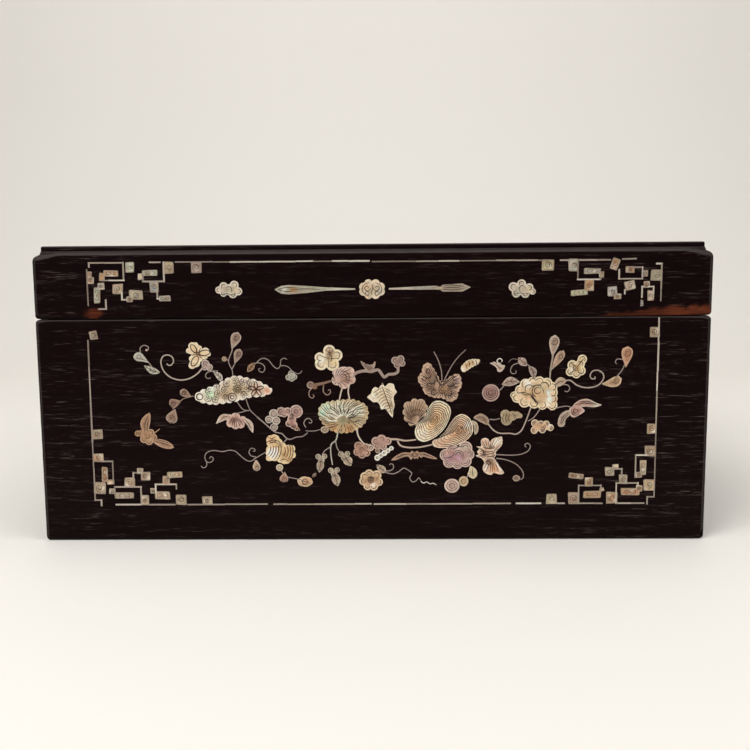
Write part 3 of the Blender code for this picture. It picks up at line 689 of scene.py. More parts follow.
    def strips(self, spots):
        """Strips laid end to end in short lengths, not quite in line."""
        shortest, longest, least, gap = 7, 21, 3, 0.06
        proud = bpy.context.scene.box_nacre.proud / MM
        for here, there in zip(spots, spots[1:]):
            run = Vector(there) - Vector(here)
            reach = run.length + (STRIP if len(spots) > 2 else 0)
            first = Vector(here) - run.normalized() * (reach - run.length) / 2
            place = 0.0
            while place < reach - 0.3:
                piece = min(self.draw.uniform(shortest, longest), reach - place)
                if reach - place - piece < least:
                    piece = reach - place
                ends = [first + run.normalized() * (place + shift) for shift in (gap, piece - gap)]
                across = Vector((-run.y, run.x)).normalized() * self.draw.uniform(-0.1, 0.1)
                tone = self.draw.choice(self.STRIP_TONES)
                wide = STRIP * self.draw.uniform(0.62, 0.88)
                spine = [tuple(ends[0] + across), tuple((ends[0] + ends[1]) / 2 + across * 0.4),
                         tuple(ends[1] + across)]
                self.band(spine, [wide, wide * 1.03, wide], -PLATE / MM, proud, tone, self.NACRE)
                place += piece

    def tile(self, x, z, width, height, tone, turn):
        """A hand-cut tile with a key or a scroll cut in it."""
        draw = self.draw
        tone = tone or draw.choice(self.TILE_TONES)
        corners = []
        for sx, sz in ((-1, -1), (1, -1), (1, 1), (-1, 1)):
            x_off = sx * width / 2 + draw.uniform(-0.2, 0.2)
            z_off = sz * height / 2 + draw.uniform(-0.2, 0.2)
            cut = draw.uniform(0.08, 0.2)
            ends = [(x_off * (1 - cut), z_off), (x_off, z_off * (1 - cut))]
            corners += ends[::-1] if sx == sz else ends
        hues = (*self.TILE_PATCHES, draw.choice(self.TILE_THIRD_PATCH))
        patches = [(x + draw.uniform(-1.5, 1.5), z + draw.uniform(-1.5, 1.5), draw.uniform(0.9, 1.5), hue)
                   for hue in hues]
        self.plate(turned(x, z, turn, corners), tone, self.TILE_RIM, patches)
        short, long = sorted((width, height))
        lean = turn + (90 if height > width else 0)
        if long > 1.7 * short:
            marks = [arc(side * long * 0.22, 0, short * 0.22, start, start + 290)
                     for side, start in ((-1, 40), (1, 200))]
            marks += [[(-long * 0.08, -short * 0.2), (0, short * 0.15), (long * 0.08, -short * 0.2)]]
            self.lines([list(turned(x, z, lean, mark)) for mark in marks], 0.85)
        elif short > 2.6:
            first = draw.uniform(0, 360)
            self.line(spiral(x, z, short * 0.34, first, draw.choice((-1, 1)) * 560, 0.85), 0.9)

    def finish(self, slot, *nodes):
        """Makes the group's mesh, and lets it stand for the solid model's nodes."""
        mesh = bpy.data.meshes.new(self.name)
        world = [self.place @ Vector((x * MM, z * MM, h * MM)) for x, z, h in self.points]
        mesh.from_pydata(world, [], self.faces)
        mesh.polygons.foreach_set("material_index", self.kinds)
        tone = mesh.color_attributes.new("tone", "FLOAT_COLOR", "POINT")
        tone.data.foreach_set("color", [part for hue in self.tones for part in (*hue, 1.0)])
        tidy = bmesh.new()
        tidy.from_mesh(mesh)
        bmesh.ops.recalc_face_normals(tidy, faces=tidy.faces)
        tidy.to_mesh(mesh)
        tidy.free()
        made = mesh_object(self.name, mesh, [polished_nacre(), rubbed_lac()])
        if nodes:
            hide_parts(*nodes)


def inside_grid(edge, gap, draw):
    """Points of a staggered grid inside an outline, clear of its edge."""
    low, high = edge.min(0), edge.max(0)
    rows_apart, astray, clear = 0.87, 0.12, 0.35
    spots = []
    for row, z in enumerate(np.arange(low[1] + gap / 2, high[1], gap * rows_apart)):
        for x in np.arange(low[0] + gap / 2 * (1 + row % 2), high[0], gap):
            spots.append((x + draw.uniform(-astray, astray) * gap, z + draw.uniform(-astray, astray) * gap))
    if not spots:
        return np.empty((0, 2))
    spots = np.array(spots)
    before, after = edge, np.roll(edge, -1, 0)
    x, z = spots[:, :1], spots[:, 1:]
    spans = (before[:, 1] > z) != (after[:, 1] > z)
    run = np.where(after[:, 1] == before[:, 1], 1e-9, after[:, 1] - before[:, 1])
    crossing = x < before[:, 0] + (z - before[:, 1]) * (after[:, 0] - before[:, 0]) / run
    inside = (spans & crossing).sum(1) % 2 == 1
    return spots[inside & (edge_distance(spots, edge) > clear * gap)]


def edge_distance(spots, edge):
    """Distance of each point from a closed outline."""
    before, run = edge, np.roll(edge, -1, 0) - edge
    away = spots[:, None, :] - before[None]
    share = np.clip((away * run).sum(2) / np.maximum((run ** 2).sum(1), 1e-12), 0, 1)
    return np.sqrt(((away - share[..., None] * run) ** 2).sum(2)).min(1)


# Tones of nacre, as it shows in soft light; the first is a painted highlight, laid as a spot on a plate
PAINTED_HIGHLIGHT, BEIGE, SILVER = "fff6e6", "dcbb98", "cfcbba"
PALE_STEM, FEELER = "d8c6b4", "a08d84"


# Outlines and lines, in drawing millimetres

def smooth(points, steps=4, closed=True):
    """Points on a smooth line through the given ones."""
    points = [Vector(point) for point in points]
    count = len(points)
    line = []
    for here in range(count if closed else count - 1):
        near = [points[(here + shift) % count] if closed else points[min(max(here + shift, 0), count - 1)]
                for shift in (-1, 0, 1, 2)]
        for step in range(steps):
            t = step / steps
            line.append(tuple(0.5 * (2 * near[1] + (near[2] - near[0]) * t
                                     + (2 * near[0] - 5 * near[1] + 4 * near[2] - near[3]) * t ** 2
                                     + (3 * near[1] - near[0] - 3 * near[2] + near[3]) * t ** 3)))
    if not closed:
        line.append(tuple(points[-1]))
    return line


def lobed(x, z, width, height, lobes, notch, turn=0, steps=9):
    """A flower or leaf edge: round lobes with a sharp notch between each two."""
    count = lobes * steps
    for step in range(count):
        angle = 2 * math.pi * step / count
        reach = 1 - notch * (1 - abs(math.cos(angle * lobes / 2)))
        tilt = angle + math.radians(turn)
        yield x + width / 2 * reach * math.cos(tilt), z + height / 2 * reach * math.sin(tilt)


def heap_middle(discs):
    """The middle of a heap's discs."""
    return sum((Vector(spot[:2]) for spot in discs), Vector((0, 0))) / len(discs)


def heap_edge(discs, steps=110):
    """The outline round a heap of discs given as (x, z, radius), seen from their middle."""
    middle = heap_middle(discs)
    for step in range(steps):
        way = Vector((math.cos(2 * math.pi * step / steps), math.sin(2 * math.pi * step / steps)))
        reach = 0.5
        for x, z, radius in discs:
            to = Vector((x, z)) - middle
            aside = to.length_squared - to.dot(way) ** 2
            if aside < radius ** 2:
                reach = max(reach, to.dot(way) + math.sqrt(radius ** 2 - aside))
        yield tuple(middle + way * reach)


def scallop(outline, size=1.6, bulge=0.35):
    """An outline with small round scallops of that size along it."""
    corners = [Vector(spot) for spot in (*outline, outline[0])]
    area = sum(here.x * there.y - there.x * here.y for here, there in zip(corners, corners[1:]))
    runs = [(there - here).length for here, there in zip(corners, corners[1:])]
    count = max(5, round(sum(runs) / size))
    stops, leg, passed = [], 0, 0.0
    for step in range(count):
        goal = sum(runs) * step / count
        while passed + runs[leg] < goal:
            passed += runs[leg]
            leg += 1
        stops.append(corners[leg].lerp(corners[leg + 1], (goal - passed) / runs[leg]))
    for here, there in zip(stops, stops[1:] + stops[:1]):
        out = Vector((there.y - here.y, here.x - there.x)).normalized() * math.copysign(bulge, area)
        for step in range(4):
            yield tuple(here.lerp(there, step / 4) + out * math.sin(math.pi * step / 4))


def rays(eye, edge, count, first=0.2, last=0.9, twist=0.0):
    """Lines from near an eye towards evenly taken points of an outline, bent by twist."""
    eye = Vector(eye)
    for here in range(count):
        run = Vector(edge[here * len(edge) // count]) - eye
        side = Vector((-run.y, run.x)) * twist
        yield [tuple(eye + run * share + side * math.sin(math.pi * share)) for share in
               (first, (first + last) / 2, last)]


def rings(eye, edge, *shares):
    """Lines that follow an outline, drawn in towards an eye."""
    eye = Vector(eye)
    for share in shares:
        yield [tuple(eye + (Vector(spot) - eye) * share) for spot in (*edge[::3], edge[0])]


def arc(x, z, radius, first=0, last=360, flat=1.0, turn=0, steps=None):
    """Points along part of a circle, or of an ellipse that is flat times as high and turned."""
    steps = steps or max(6, round(abs(last - first) / 24))
    lean = Matrix.Rotation(math.radians(turn), 2)
    for step in range(steps + 1):
        angle = math.radians(first + (last - first) * step / steps)
        spot = lean @ Vector((radius * math.cos(angle), radius * flat * math.sin(angle)))
        yield x + spot.x, z + spot.y


def ribbon(spine, widths):
    """A band along a spine, as wide at each point as widths says, blunt at both ends."""
    left, right = [], []
    for here, spot in enumerate(spine):
        before, after = spine[max(here - 1, 0)], spine[min(here + 1, len(spine) - 1)]
        across = Vector((after[1] - before[1], before[0] - after[0])).normalized()
        half = across * widths[here] / 2
        right.append((spot[0] + half.x, spot[1] + half.y))
        left.append((spot[0] - half.x, spot[1] - half.y))
    return right + left[::-1]


def disc(x, z, width, height=None):
    """The outline of a round or oval plate."""
    height, corners = height or width, 18
    return arc(x, z, width / 2, 0, 360 - 360 / corners, height / width, steps=corners - 1)


def between(root, tip, along, aside=0.0):
    """A point at a share of the way from root to tip, moved aside by a length."""
    root, tip = Vector(root), Vector(tip)
    run = tip - root
    side = Vector((-run.y, run.x)).normalized() * aside
    return tuple(root + run * along + side)


def blade(root, tip, width, belly=1.0, point=1.0, bend=0.0, steps=9):
    """A leaf or bud from root to tip: belly under 1 is widest near the tip, point under 1 is blunt."""
    sides = ([], [])
    for step in range(steps + 1):
        along = step / steps
        half = width / 2 * math.sin(math.pi * along ** (1 / belly)) ** point
        lean = bend * math.sin(math.pi * along)
        sides[0].append(between(root, tip, along, lean + half))
        sides[1].append(between(root, tip, along, lean - half))
    return sides[1] + sides[0][-2:0:-1]


def spiral(x, z, radius, first, sweep, shrink, steps=16):
    """Points of a curl that tightens by shrink over its sweep in degrees."""
    for step in range(steps + 1):
        share = step / steps
        angle = math.radians(first + sweep * share)
        reach = radius * (1 - shrink * share)
        yield x + reach * math.cos(angle), z + reach * math.sin(angle)


def turned(x, z, turn, spots):
    """Points given about a centre, turned and put in their place."""
    lean = Matrix.Rotation(math.radians(turn), 2)
    for spot in spots:
        moved = lean @ Vector(spot)
        yield x + moved.x, z + moved.y


# Lines that engravers cut

def midrib(root, tip, width, pairs=3, bend=0.0):
    """A leaf's middle rib and its paired veins."""
    yield [between(root, tip, step / 5 * 0.92, bend * math.sin(math.pi * step / 5)) for step in range(6)]
    for pair in range(pairs):
        along = 0.22 + 0.55 * pair / max(1, pairs - 1)
        lean = bend * math.sin(math.pi * along)
        for side in (-1, 1):
            yield [between(root, tip, along, lean),
                   between(root, tip, along + 0.10, lean + side * width * 0.17),
                   between(root, tip, along + 0.16, lean + side * width * 0.34)]


def petal_lines(x, z, width, height, lobes, turn=0, eye=0.16, veins=2):
    """A flower's eye, the lines between its petals, and short veins in each petal."""
    size = (width + height) / 4
    yield list(arc(x, z, size * eye))
    for lobe in range(lobes):
        notch = math.radians(turn + 360 / lobes * (lobe + 0.5))
        yield [(x + width / 2 * share * math.cos(notch), z + height / 2 * share * math.sin(notch))
               for share in (eye * 1.3, 0.45, 0.74)]
        for vein in range(veins):
            tilt = math.radians(turn + 360 / lobes * (lobe + (vein + 1) / (veins + 1) * 0.6 - 0.3))
            yield [(x + width / 2 * share * math.cos(tilt), z + height / 2 * share * math.sin(tilt))
                   for share in (0.42, 0.60, 0.80)]


# Border steps, each drawn by the inlay that it is given

def fret(*spots):
    """A strip along straight runs that turn square, laid in short lengths."""
    return lambda inlay: inlay.strips(spots)


def tile(x, z, width, height, tone=None, turn=0):
    """A small engraved tile of the border."""
    return lambda inlay: inlay.tile(x, z, width, height, tone, turn)


BODY_FRETS = {
    "border_body_left": (
        fret((-135.3, 98.6), (-135.3, 20.4), (-132.3, 20.4), (-132.3, 17.8)),
        tile(-132.9, 53.1, 5.2, 4.6), tile(-132.9, 41.5, 5.2, 4.2, "bd9266"), tile(-132.8, 26.4, 5.8, 5.9),
        tile(-132.6, 101.2, 3.8, 4.2, "8f7460", 12), fret((-131.0, 39.7), (-126.0, 39.7), (-126.0, 29.6)),
        tile(-127.4, 29.4, 3.4, 2.4, "b3824f"), tile(-130.0, 33.2, 2.9, 7.4, "a8744a")),
    "border_body_bottom_left": (
        fret((-125.4, 18.1), (-112.4, 18.1)), fret((-109.0, 18.1), (-96.0, 18.1)),
        fret((-90.4, 18.1), (-51.0, 18.1)), fret((-48.4, 18.1), (-0.4, 18.1)),
        fret((-112.6, 18.1), (-112.6, 27.0), (-125.4, 27.0), (-125.4, 22.8)), tile(-126.8, 24.8, 3.0, 2.8),
        tile(-120.8, 22.6, 9.2, 2.9), tile(-110.9, 20.2, 3.6, 4.9), tile(-118.1, 29.2, 4.9, 4.8),
        fret((-116.1, 31.0), (-116.1, 34.0), (-112.8, 34.0)), tile(-112.7, 34.9, 2.9, 2.7),
        tile(-110.3, 32.4, 4.6, 4.2), tile(-93.2, 20.5, 5.3, 5.2), tile(-80.4, 20.0, 5.0, 4.2)),
    "fret_body_left": (
        fret((-105.4, 24.2), (-105.4, 28.2), (-95.4, 28.2), (-95.4, 26.0)),
        tile(-106.7, 24.9, 2.8, 2.8), tile(-102.2, 22.7, 7.4, 4.1), tile(-100.2, 30.1, 3.4, 4.6, "c08a68"),
        tile(-95.9, 33.0, 7.3, 2.9, turn=3)),
    "border_body_right": (
        fret((135.7, 107.6), (135.7, 21.2), (132.5, 21.2), (132.5, 17.8)),
        tile(133.4, 43.7, 5.4, 5.1, "b3906e"), tile(133.3, 27.1, 5.5, 5.5, "cdb07c"),
        tile(133.8, 54.6, 4.6, 4.8, "b98f5c"), tile(133.9, 101.2, 4.6, 4.8),
        fret((131.6, 41.8), (126.5, 41.8), (126.5, 31.8)), tile(128.0, 32.0, 3.6, 2.9, "b89a74"),
        tile(130.1, 35.7, 3.0, 7.4, "bfa888")),
    "border_body_bottom_right": (
        fret((0.4, 18.1), (67.0, 18.1)), fret((69.2, 18.1), (81.6, 18.1)),
        fret((88.9, 18.1), (93.0, 18.1)), fret((99.8, 18.1), (111.2, 18.1)),
        fret((118.0, 18.1), (131.3, 18.1)), tile(115.4, 20.8, 5.3, 5.7, "c08c5c"),
        tile(97.2, 20.6, 5.4, 5.5, "b08a74"), tile(86.4, 20.3, 5.0, 4.8, "a89a6c"),
        fret((117.5, 18.1), (117.5, 28.1), (127.9, 28.1), (127.9, 25.6)),
        tile(128.5, 25.5, 2.9, 3.0, "b98a58"), tile(124.2, 23.7, 8.8, 3.3, "bc8a60"),
        tile(120.7, 30.0, 4.0, 4.6, "b8ab90"), fret((119.9, 32.0), (119.9, 35.1), (114.8, 35.1)),
        tile(116.8, 36.1, 2.8, 2.6, "b3a488"), tile(114.1, 33.7, 4.3, 4.3, "bdb294"),
        fret((99.5, 18.1), (99.5, 27.0), (110.1, 27.0), (110.1, 24.6)),
        tile(110.6, 24.8, 2.2, 1.8, "c39a68", 12), tile(106.0, 22.5, 8.6, 3.4, "c4966a"),
        tile(104.3, 28.7, 3.9, 4.6, "c99a60"), tile(98.2, 31.6, 7.0, 2.7, "a8794c", -6)),
}

LID_FRETS = {
    "border_lid_left": (
        fret((-134.4, 132.6), (-134.4, 115.0)),
        tile(-132.8, 127.2, 3.6, 3.0, "b98f74"), tile(-133.2, 130.0, 2.2, 3.0, "b0805e")),
    "fret_lid_left_side": (
        fret((-125.9, 117.9), (-125.9, 113.7), (-129.4, 113.7)), tile(-129.9, 120.1, 3.1, 7.6, "bfc2ac"),
        tile(-127.9, 124.5, 3.2, 3.0, "d5d3c8")),
    "border_lid_top_left": (
        fret((-133.2, 133.6), (-133.2, 135.4), (-117.6, 135.4)), fret((-104.8, 135.5), (-99.0, 135.5)),
        fret((-92.4, 135.5), (-0.4, 135.5)), tile(-113.9, 133.3, 4.2, 4.8, "dfe9d2"),
        tile(-95.2, 133.0, 4.4, 5.6, "cbb592"), tile(-82.4, 133.1, 5.1, 5.2, "b79a98"),
        fret((-116.9, 135.5), (-116.9, 127.1), (-127.4, 127.1)), tile(-127.3, 128.8, 2.5, 3.8, "c9965e"),
        tile(-123.0, 130.5, 7.0, 2.9, "c89c78"), fret((-97.8, 135.5), (-97.8, 126.5), (-107.8, 126.5),
                                                      (-107.8, 129.8)),
        tile(-108.9, 128.8, 2.5, 2.8, "d3c6ac"), tile(-104.4, 130.5, 7.2, 2.9, "bdbfae"),
        tile(-102.6, 124.0, 4.2, 5.2, "9fa3a2"), fret((-101.2, 122.4), (-101.2, 118.4), (-99.4, 118.4)),
        tile(-97.8, 118.4, 5.6, 2.8, "b9bab0")),
    "fret_lid_left": (
        tile(-120.0, 123.1, 4.9, 4.7, "d8b795"), fret((-118.1, 121.2), (-118.1, 118.0), (-114.6, 118.0)),
        tile(-114.5, 118.2, 3.2, 2.8), tile(-111.4, 120.2, 6.4, 4.6, "c9bea2")),
    "border_lid_right": (
        fret((133.8, 133.2), (136.2, 133.2), (136.2, 116.0)), tile(133.8, 127.8, 5.3, 5.3, "a9a68c")),
    "fret_lid_right_side": (
        fret((127.3, 117.6), (127.3, 122.5), (132.6, 122.5), (132.6, 119.4)),
        tile(127.3, 114.8, 1.2, 2.8, "dfe4ea"), tile(129.4, 123.5, 2.9, 3.0, "d4a083"),
        tile(131.5, 118.3, 3.3, 4.8, "dcc2b0")),
    "border_lid_top_right": (
        fret((0.4, 135.2), (83.0, 135.2)), fret((88.5, 135.2), (112.5, 135.2)),
        fret((117.5, 135.4), (124.5, 135.6)), tile(83.1, 132.9, 5.6, 5.1, "d6cd9e"),
        tile(95.0, 132.8, 4.8, 5.6, "c6c4b8"), tile(114.4, 133.3, 3.8, 5.4, "b98458", -18),
        fret((97.1, 135.2), (97.1, 126.1), (107.7, 126.1), (107.7, 128.8)),
        tile(108.2, 128.4, 2.4, 2.9, "d2c6ae"), tile(103.8, 130.0, 7.9, 2.7, "bab6a8"),
        tile(102.4, 123.4, 4.5, 5.6, "cf9c70"), tile(97.8, 119.9, 7.8, 2.7, "c8ceaa", 6)),
    "fret_lid_right_outer": (
        fret((121.4, 131.6), (127.2, 131.6), (127.2, 126.3), (116.4, 126.3), (116.4, 130.4)),
        tile(121.5, 130.6, 4.2, 2.9, "b5805a"), tile(128.4, 128.6, 3.0, 3.0, "b89c94")),
    "fret_lid_right": (
        tile(121.6, 123.2, 5.0, 4.2, "e2cdb4", 12), fret((119.2, 121.4), (119.2, 118.9)),
        tile(113.4, 120.3, 4.6, 4.7, "dfe6e6", 3), tile(116.0, 118.0, 3.4, 2.8, "c2ad90")),
}

MELON_LEFT = (
    (24.6, 48.7), (28.2, 49.8), (31.4, 51.8), (34.6, 55.1), (36.8, 59.4), (37.8, 63.6), (36.6, 66.6),
    (33.0, 68.6), (29.5, 68.2), (27.0, 65.0), (25.4, 61.0), (21.9, 57.4), (20.5, 53.8), (21.5, 50.4))
MELON_RIGHT = (
    (28.9, 47.4), (31.0, 45.9), (35.6, 45.7), (40.2, 46.8), (45.0, 49.2), (48.0, 52.6), (48.4, 56.0),
    (46.9, 60.0), (43.4, 62.2), (40.2, 61.0), (37.6, 57.8), (35.4, 54.1), (32.2, 50.9), (29.4, 49.4))


# Places

def face_place(side):
    """Drawing across, up and out to the wall on that side, in metres."""
    turn = SIDES[side]
    out = HALF_DEPTH if turn % 180 == 0 else HALF_LENGTH
    return (Matrix.Rotation(math.radians(turn), 4, "Z") @ Matrix.Translation((0, -out, 0))
            @ Matrix.Rotation(math.radians(90), 4, "X"))


def make_borders(tables):
    """The border groups of the front, each from its list of steps."""
    for name, steps in tables.items():
        inlay = Inlay(f"inlay_{name}", face_place("front"))
        for step in steps:
            step(inlay)
        inlay.finish("nacre_beige", name)


def plain_frame(name, node, place, across, low, high):
    """A plain border of strips on a side that has no picture."""
    inlay = Inlay(name, place)
    x = across - STRIP / 2
    z = (low + STRIP / 2, high - STRIP / 2)
    for run in (((-x, z[0]), (x, z[0])), ((x, z[0]), (x, z[1])), ((x, z[1]), (-x, z[1])),
                ((-x, z[1]), (-x, z[0]))):
        inlay.strips(run)
    inlay.finish("nacre_beige", node)


# Lid picture

def draw_lid():
    """The two clouds, the medallion and the two pointed bars of the lid."""
    for name, discs in (("cloud_left", ((-71.9, 122.3, 1.7), (-69.6, 123.9, 2.0), (-64.6, 124.5, 2.1),
                                        (-62.8, 121.6, 1.9), (-65.3, 120.4, 2.0), (-69.8, 120.7, 1.6),
                                        (-67.2, 122.4, 2.6))),
                        ("cloud_right", ((67.0, 122.8, 2.2), (70.8, 124.2, 2.1), (74.4, 122.4, 2.0),
                                         (76.0, 120.6, 1.5), (72.6, 119.6, 2.0), (68.4, 119.9, 2.1),
                                         (71.2, 121.8, 2.8)))):
        cloud = Inlay(f"inlay_{name}")
        x, z = discs[-1][:2]
        cloud.heap(discs, "cdbca4", "ece0cc", [(x - 2, z - 2, 2, SILVER), (x + 3, z, 2, "dcc6a2")],
                   (0.55,), 0.95)
        cloud.line([(x - 4.0, z - 2.4), (x - 1, z - 1.8), (x + 1, z - 2.4), (x + 3.4, z - 1.9)])
        cloud.finish("nacre_cream", name)
    medal = Inlay("inlay_medallion")
    around = [math.radians(22.5 + 45 * step) for step in range(8)]
    discs = [(0.5 + 4.4 * math.cos(angle), 122.2 + 2.9 * math.sin(angle), 1.95) for angle in around]
    medal.heap([*discs, (0.5, 122.2, 3.6)], "cfb89a", "ecd9bc",
               [(-2.5, 123.5, 2, BEIGE), (4, 121, 2, SILVER)], ())
    for side in (-1, 1):
        medal.line(spiral(0.5 + side * 2.3, 122.8, 1.7, 90 + 90 * side, side * 400, 0.75))
        medal.line(arc(0.5, 122.2, 4.7, 90 - side * 20, 90 - side * 160, 0.70))
    medal.lines([[(0.5, 119.4), (0.1, 120.8), (0.9, 122.2), (0.5, 124.6)], arc(-1.8, 120.2, 0.9),
                 arc(2.8, 120.2, 0.9)])
    medal.finish("nacre_cream", "medallion")
    left = Inlay("inlay_bar_left")
    edge = ribbon([(-45.5, 122.3), (-42.5, 122.2), (-39, 122.2), (-30, 122.3), (-21, 122.4), (-7.4, 122.3)],
                  [0.3, 3.6, 4.4, 3.2, 1.5, 0.7])
    left.plate(edge, "a8a394", "c4bba8", [(-41, 122.2, 1.4, PAINTED_HIGHLIGHT), (-36.5, 122.2, 2.6, "c9925e"),
                                          (-28, 122.4, 6, "b9b39a"), (-14, 122.4, 6, PAINTED_HIGHLIGHT)])
    left.lines([[(-44, 122.3), (-40, 121.3), (-35, 121.6)], [(-44, 122.4), (-40, 123.3), (-35, 123.0)],
                [(-38, 122.2), (-31, 122.6), (-24, 122.3)]])
    left.finish("nacre_silver", "bar_left")
    right = Inlay("inlay_bar_right")
    edge = ribbon([(8.4, 122.3), (20, 122.5), (30, 122.7), (32.5, 122.5), (34, 122.4), (43, 122.7),
                   (46.8, 122.8)],
                  [0.7, 1.4, 1.8, 1.5, 3.2, 3.8, 0.3])
    right.plate(edge, "a09284", "b9ac9a", [(13, 122.4, 6, "f0ddd2"), (24, 122.6, 5, "a9a499"),
                                           (33, 122.5, 2, "d8bfa2"), (40, 122.6, 4, "9f907a")])
    right.lines([[(32, 122.0), (38, 121.5), (44, 122.2)], [(31, 123.0), (38, 124.0), (44, 123.2)],
                 [(33, 122.5), (38, 122.8), (42, 122.6)]])
    right.finish("nacre_silver", "bar_right")


# Left sprays

def draw_left_sprays():
    """The flowers, the swallowtail and the peony at the left."""
    flower = Inlay("inlay_flower_three_petals")
    flower.heap([(-85.4, 95.6, 1.9), (-83.8, 96.2, 1.3), (-82.2, 94.6, 1.4), (-79.2, 93.0, 1.9),
                 (-77.8, 91.8, 1.1), (-79.8, 90.8, 1.6), (-82.0, 89.4, 1.3), (-84.0, 87.6, 2.1),
                 (-85.8, 86.4, 1.7), (-85.8, 89.6, 1.4), (-87.2, 93.4, 1.3), (-83.2, 91.8, 3.0)],
                "dcb27e", "f6e4c4", [(-79.4, 92.4, 1.4, "f4deb6"), (-84.6, 88.6, 1.4, "f4deb6"),
                                     (-84.8, 94.4, 1.2, "f0d6a8"), (-82.8, 92.0, 1.2, "8a5f38")], ())
    for x, z, size, turn in ((-84.8, 94.5, 2.2, 122), (-79.7, 92.4, 2.6, 8), (-84.4, 88.5, 2.7, 58)):
        flower.line(arc(x, z, size, 0, 360, 0.52, turn), 1.6)
    flower.lines([arc(-82.8, 92.0, 0.6), [(-86.4, 91.6), (-85.0, 91.4), (-83.6, 91.8)],
                  [(-81.4, 94.8), (-82.0, 93.6), (-82.4, 92.6)],
                  [(-80.6, 89.6), (-81.6, 90.4), (-82.2, 91.2)]], 1.2)
    flower.finish("nacre_cream", "flower_three_petals")

    spray = Inlay("inlay_floret_spray")
    edge = list(scallop([(-85.0, 71.4), (-83.0, 69.0), (-79.5, 68.4), (-77.5, 67.6), (-71.0, 68.4),
                         (-65.0, 69.2), (-58.0, 71.6), (-54.5, 71.3), (-50.4, 72.2), (-47.0, 74.2),
                         (-50.6, 76.2), (-54.9, 78.6), (-61.5, 80.2), (-65.5, 81.2), (-70.0, 79.3),
                         (-72.5, 77.2), (-79.3, 74.8), (-82.8, 73.4)], 3.3, 0.75))
    # The mint and near white spots at the left are painted highlights
    spray.plate(edge, "d3ba98", "fbeedd",
                [(-82.5, 71.0, 2.2, PAINTED_HIGHLIGHT), (-77.6, 72.4, 3.6, "dcf6d2"), (-76.4, 75.2, 1.6, "f4faea"),
                 (-70.5, 72, 2.6, "b39c78"), (-66, 78, 3.0, "e6d6b2"), (-55.2, 74.6, 3.2, "e0a184"),
                 (-50.2, 74.0, 2.2, "e5a07e"), (-61, 73.5, 2.2, "dcc5a0"), (-64.2, 74.6, 2.4, "b39a72")])
    spray.line(arc(-82.6, 71.2, 1.5), 1.7)
    for x, z, radius in ((-78.6, 70.6, 1.9), (-78.2, 73.6, 1.6), (-75.0, 69.8, 1.7), (-73.8, 72.6, 1.9),
                         (-74.4, 76.0, 1.7), (-70.2, 70.6, 1.6), (-70.4, 74.4, 1.8), (-69.4, 77.6, 1.8),
                         (-65.4, 79.2, 1.8), (-61.6, 78.2, 1.7), (-61.4, 72.2, 1.6), (-59.4, 75.2, 1.6),
                         (-58.2, 78.0, 1.5)):
        start = spray.draw.uniform(0, 360)
        spray.line(arc(x, z, radius * 0.95, start, start + 170), 0.9)
        for petal in range(4):
            tilt = math.radians(start + 90 * petal)
            spray.line(arc(x + 0.95 * math.cos(tilt), z + 0.95 * math.sin(tilt), 0.85, 0, 360, 0.55,
                           math.degrees(tilt)),
                       0.62)
    spray.lines(petal_lines(-64.4, 75.0, 6.4, 6.4, 8, 10, eye=0.2, veins=1), 1.2)
    spray.lines([arc(-67.0, 70.9, radius) for radius in (0.9, 2.0)], 1.4)
    for petal in range(5):
        tilt = math.radians(20 + 72 * petal)
        spray.line(arc(-55.4 + 2.0 * math.cos(tilt), 74.7 + 1.9 * math.sin(tilt), 1.8, 0, 360, 0.42,
                       math.degrees(tilt)),
                   1.6)
    spray.line(arc(-55.4, 74.7, 0.5), 1.6)
    spray.finish("nacre_beige", "floret_spray")

    swallow = Inlay("inlay_swallowtail")
    swallow.plate(blade((-109.4, 52.6), (-107.0, 63.6), 4.6, belly=1.0, point=0.7, bend=1.2),
                  "a07a5c", "c29c7c")
    swallow.plate(blade((-106.6, 50.2), (-95.8, 46.4), 3.9, belly=0.9, point=0.6), "a47e60", "c8a284")
    swallow.heap([(-111.2, 53.4, 1.7), (-109.0, 54.4, 1.7), (-106.8, 53.8, 1.7), (-105.6, 51.4, 1.8),
                  (-107.8, 49.6, 1.9), (-110.2, 50.6, 1.9), (-108.4, 52.0, 1.8)], "a67c5a", "caa280",
                 [(-107.6, 50.4, 1.6, "d6b088")])
    swallow.ball(-113.2, 53.4, 2.9, "a5805a", "c39c74")
    swallow.stem((-105.6, 53.2), (-104.0, 54.4), (-102.4, 55.6), wide=0.9, thin=0.5, tone="b99670")
    swallow.lines([[(-109.8, 55.4), (-109.4, 58.6), (-107.6, 62.4)],
                   [(-108.6, 55.4), (-108.2, 58.0), (-107.4, 60.4)],
                   [(-105.6, 49.8), (-102.0, 48.8), (-97.2, 47.0)],
                   [(-104.4, 50.4), (-101.6, 49.8), (-98.8, 48.8)]], 1.1)
    swallow.finish("nacre_tan", "swallowtail")

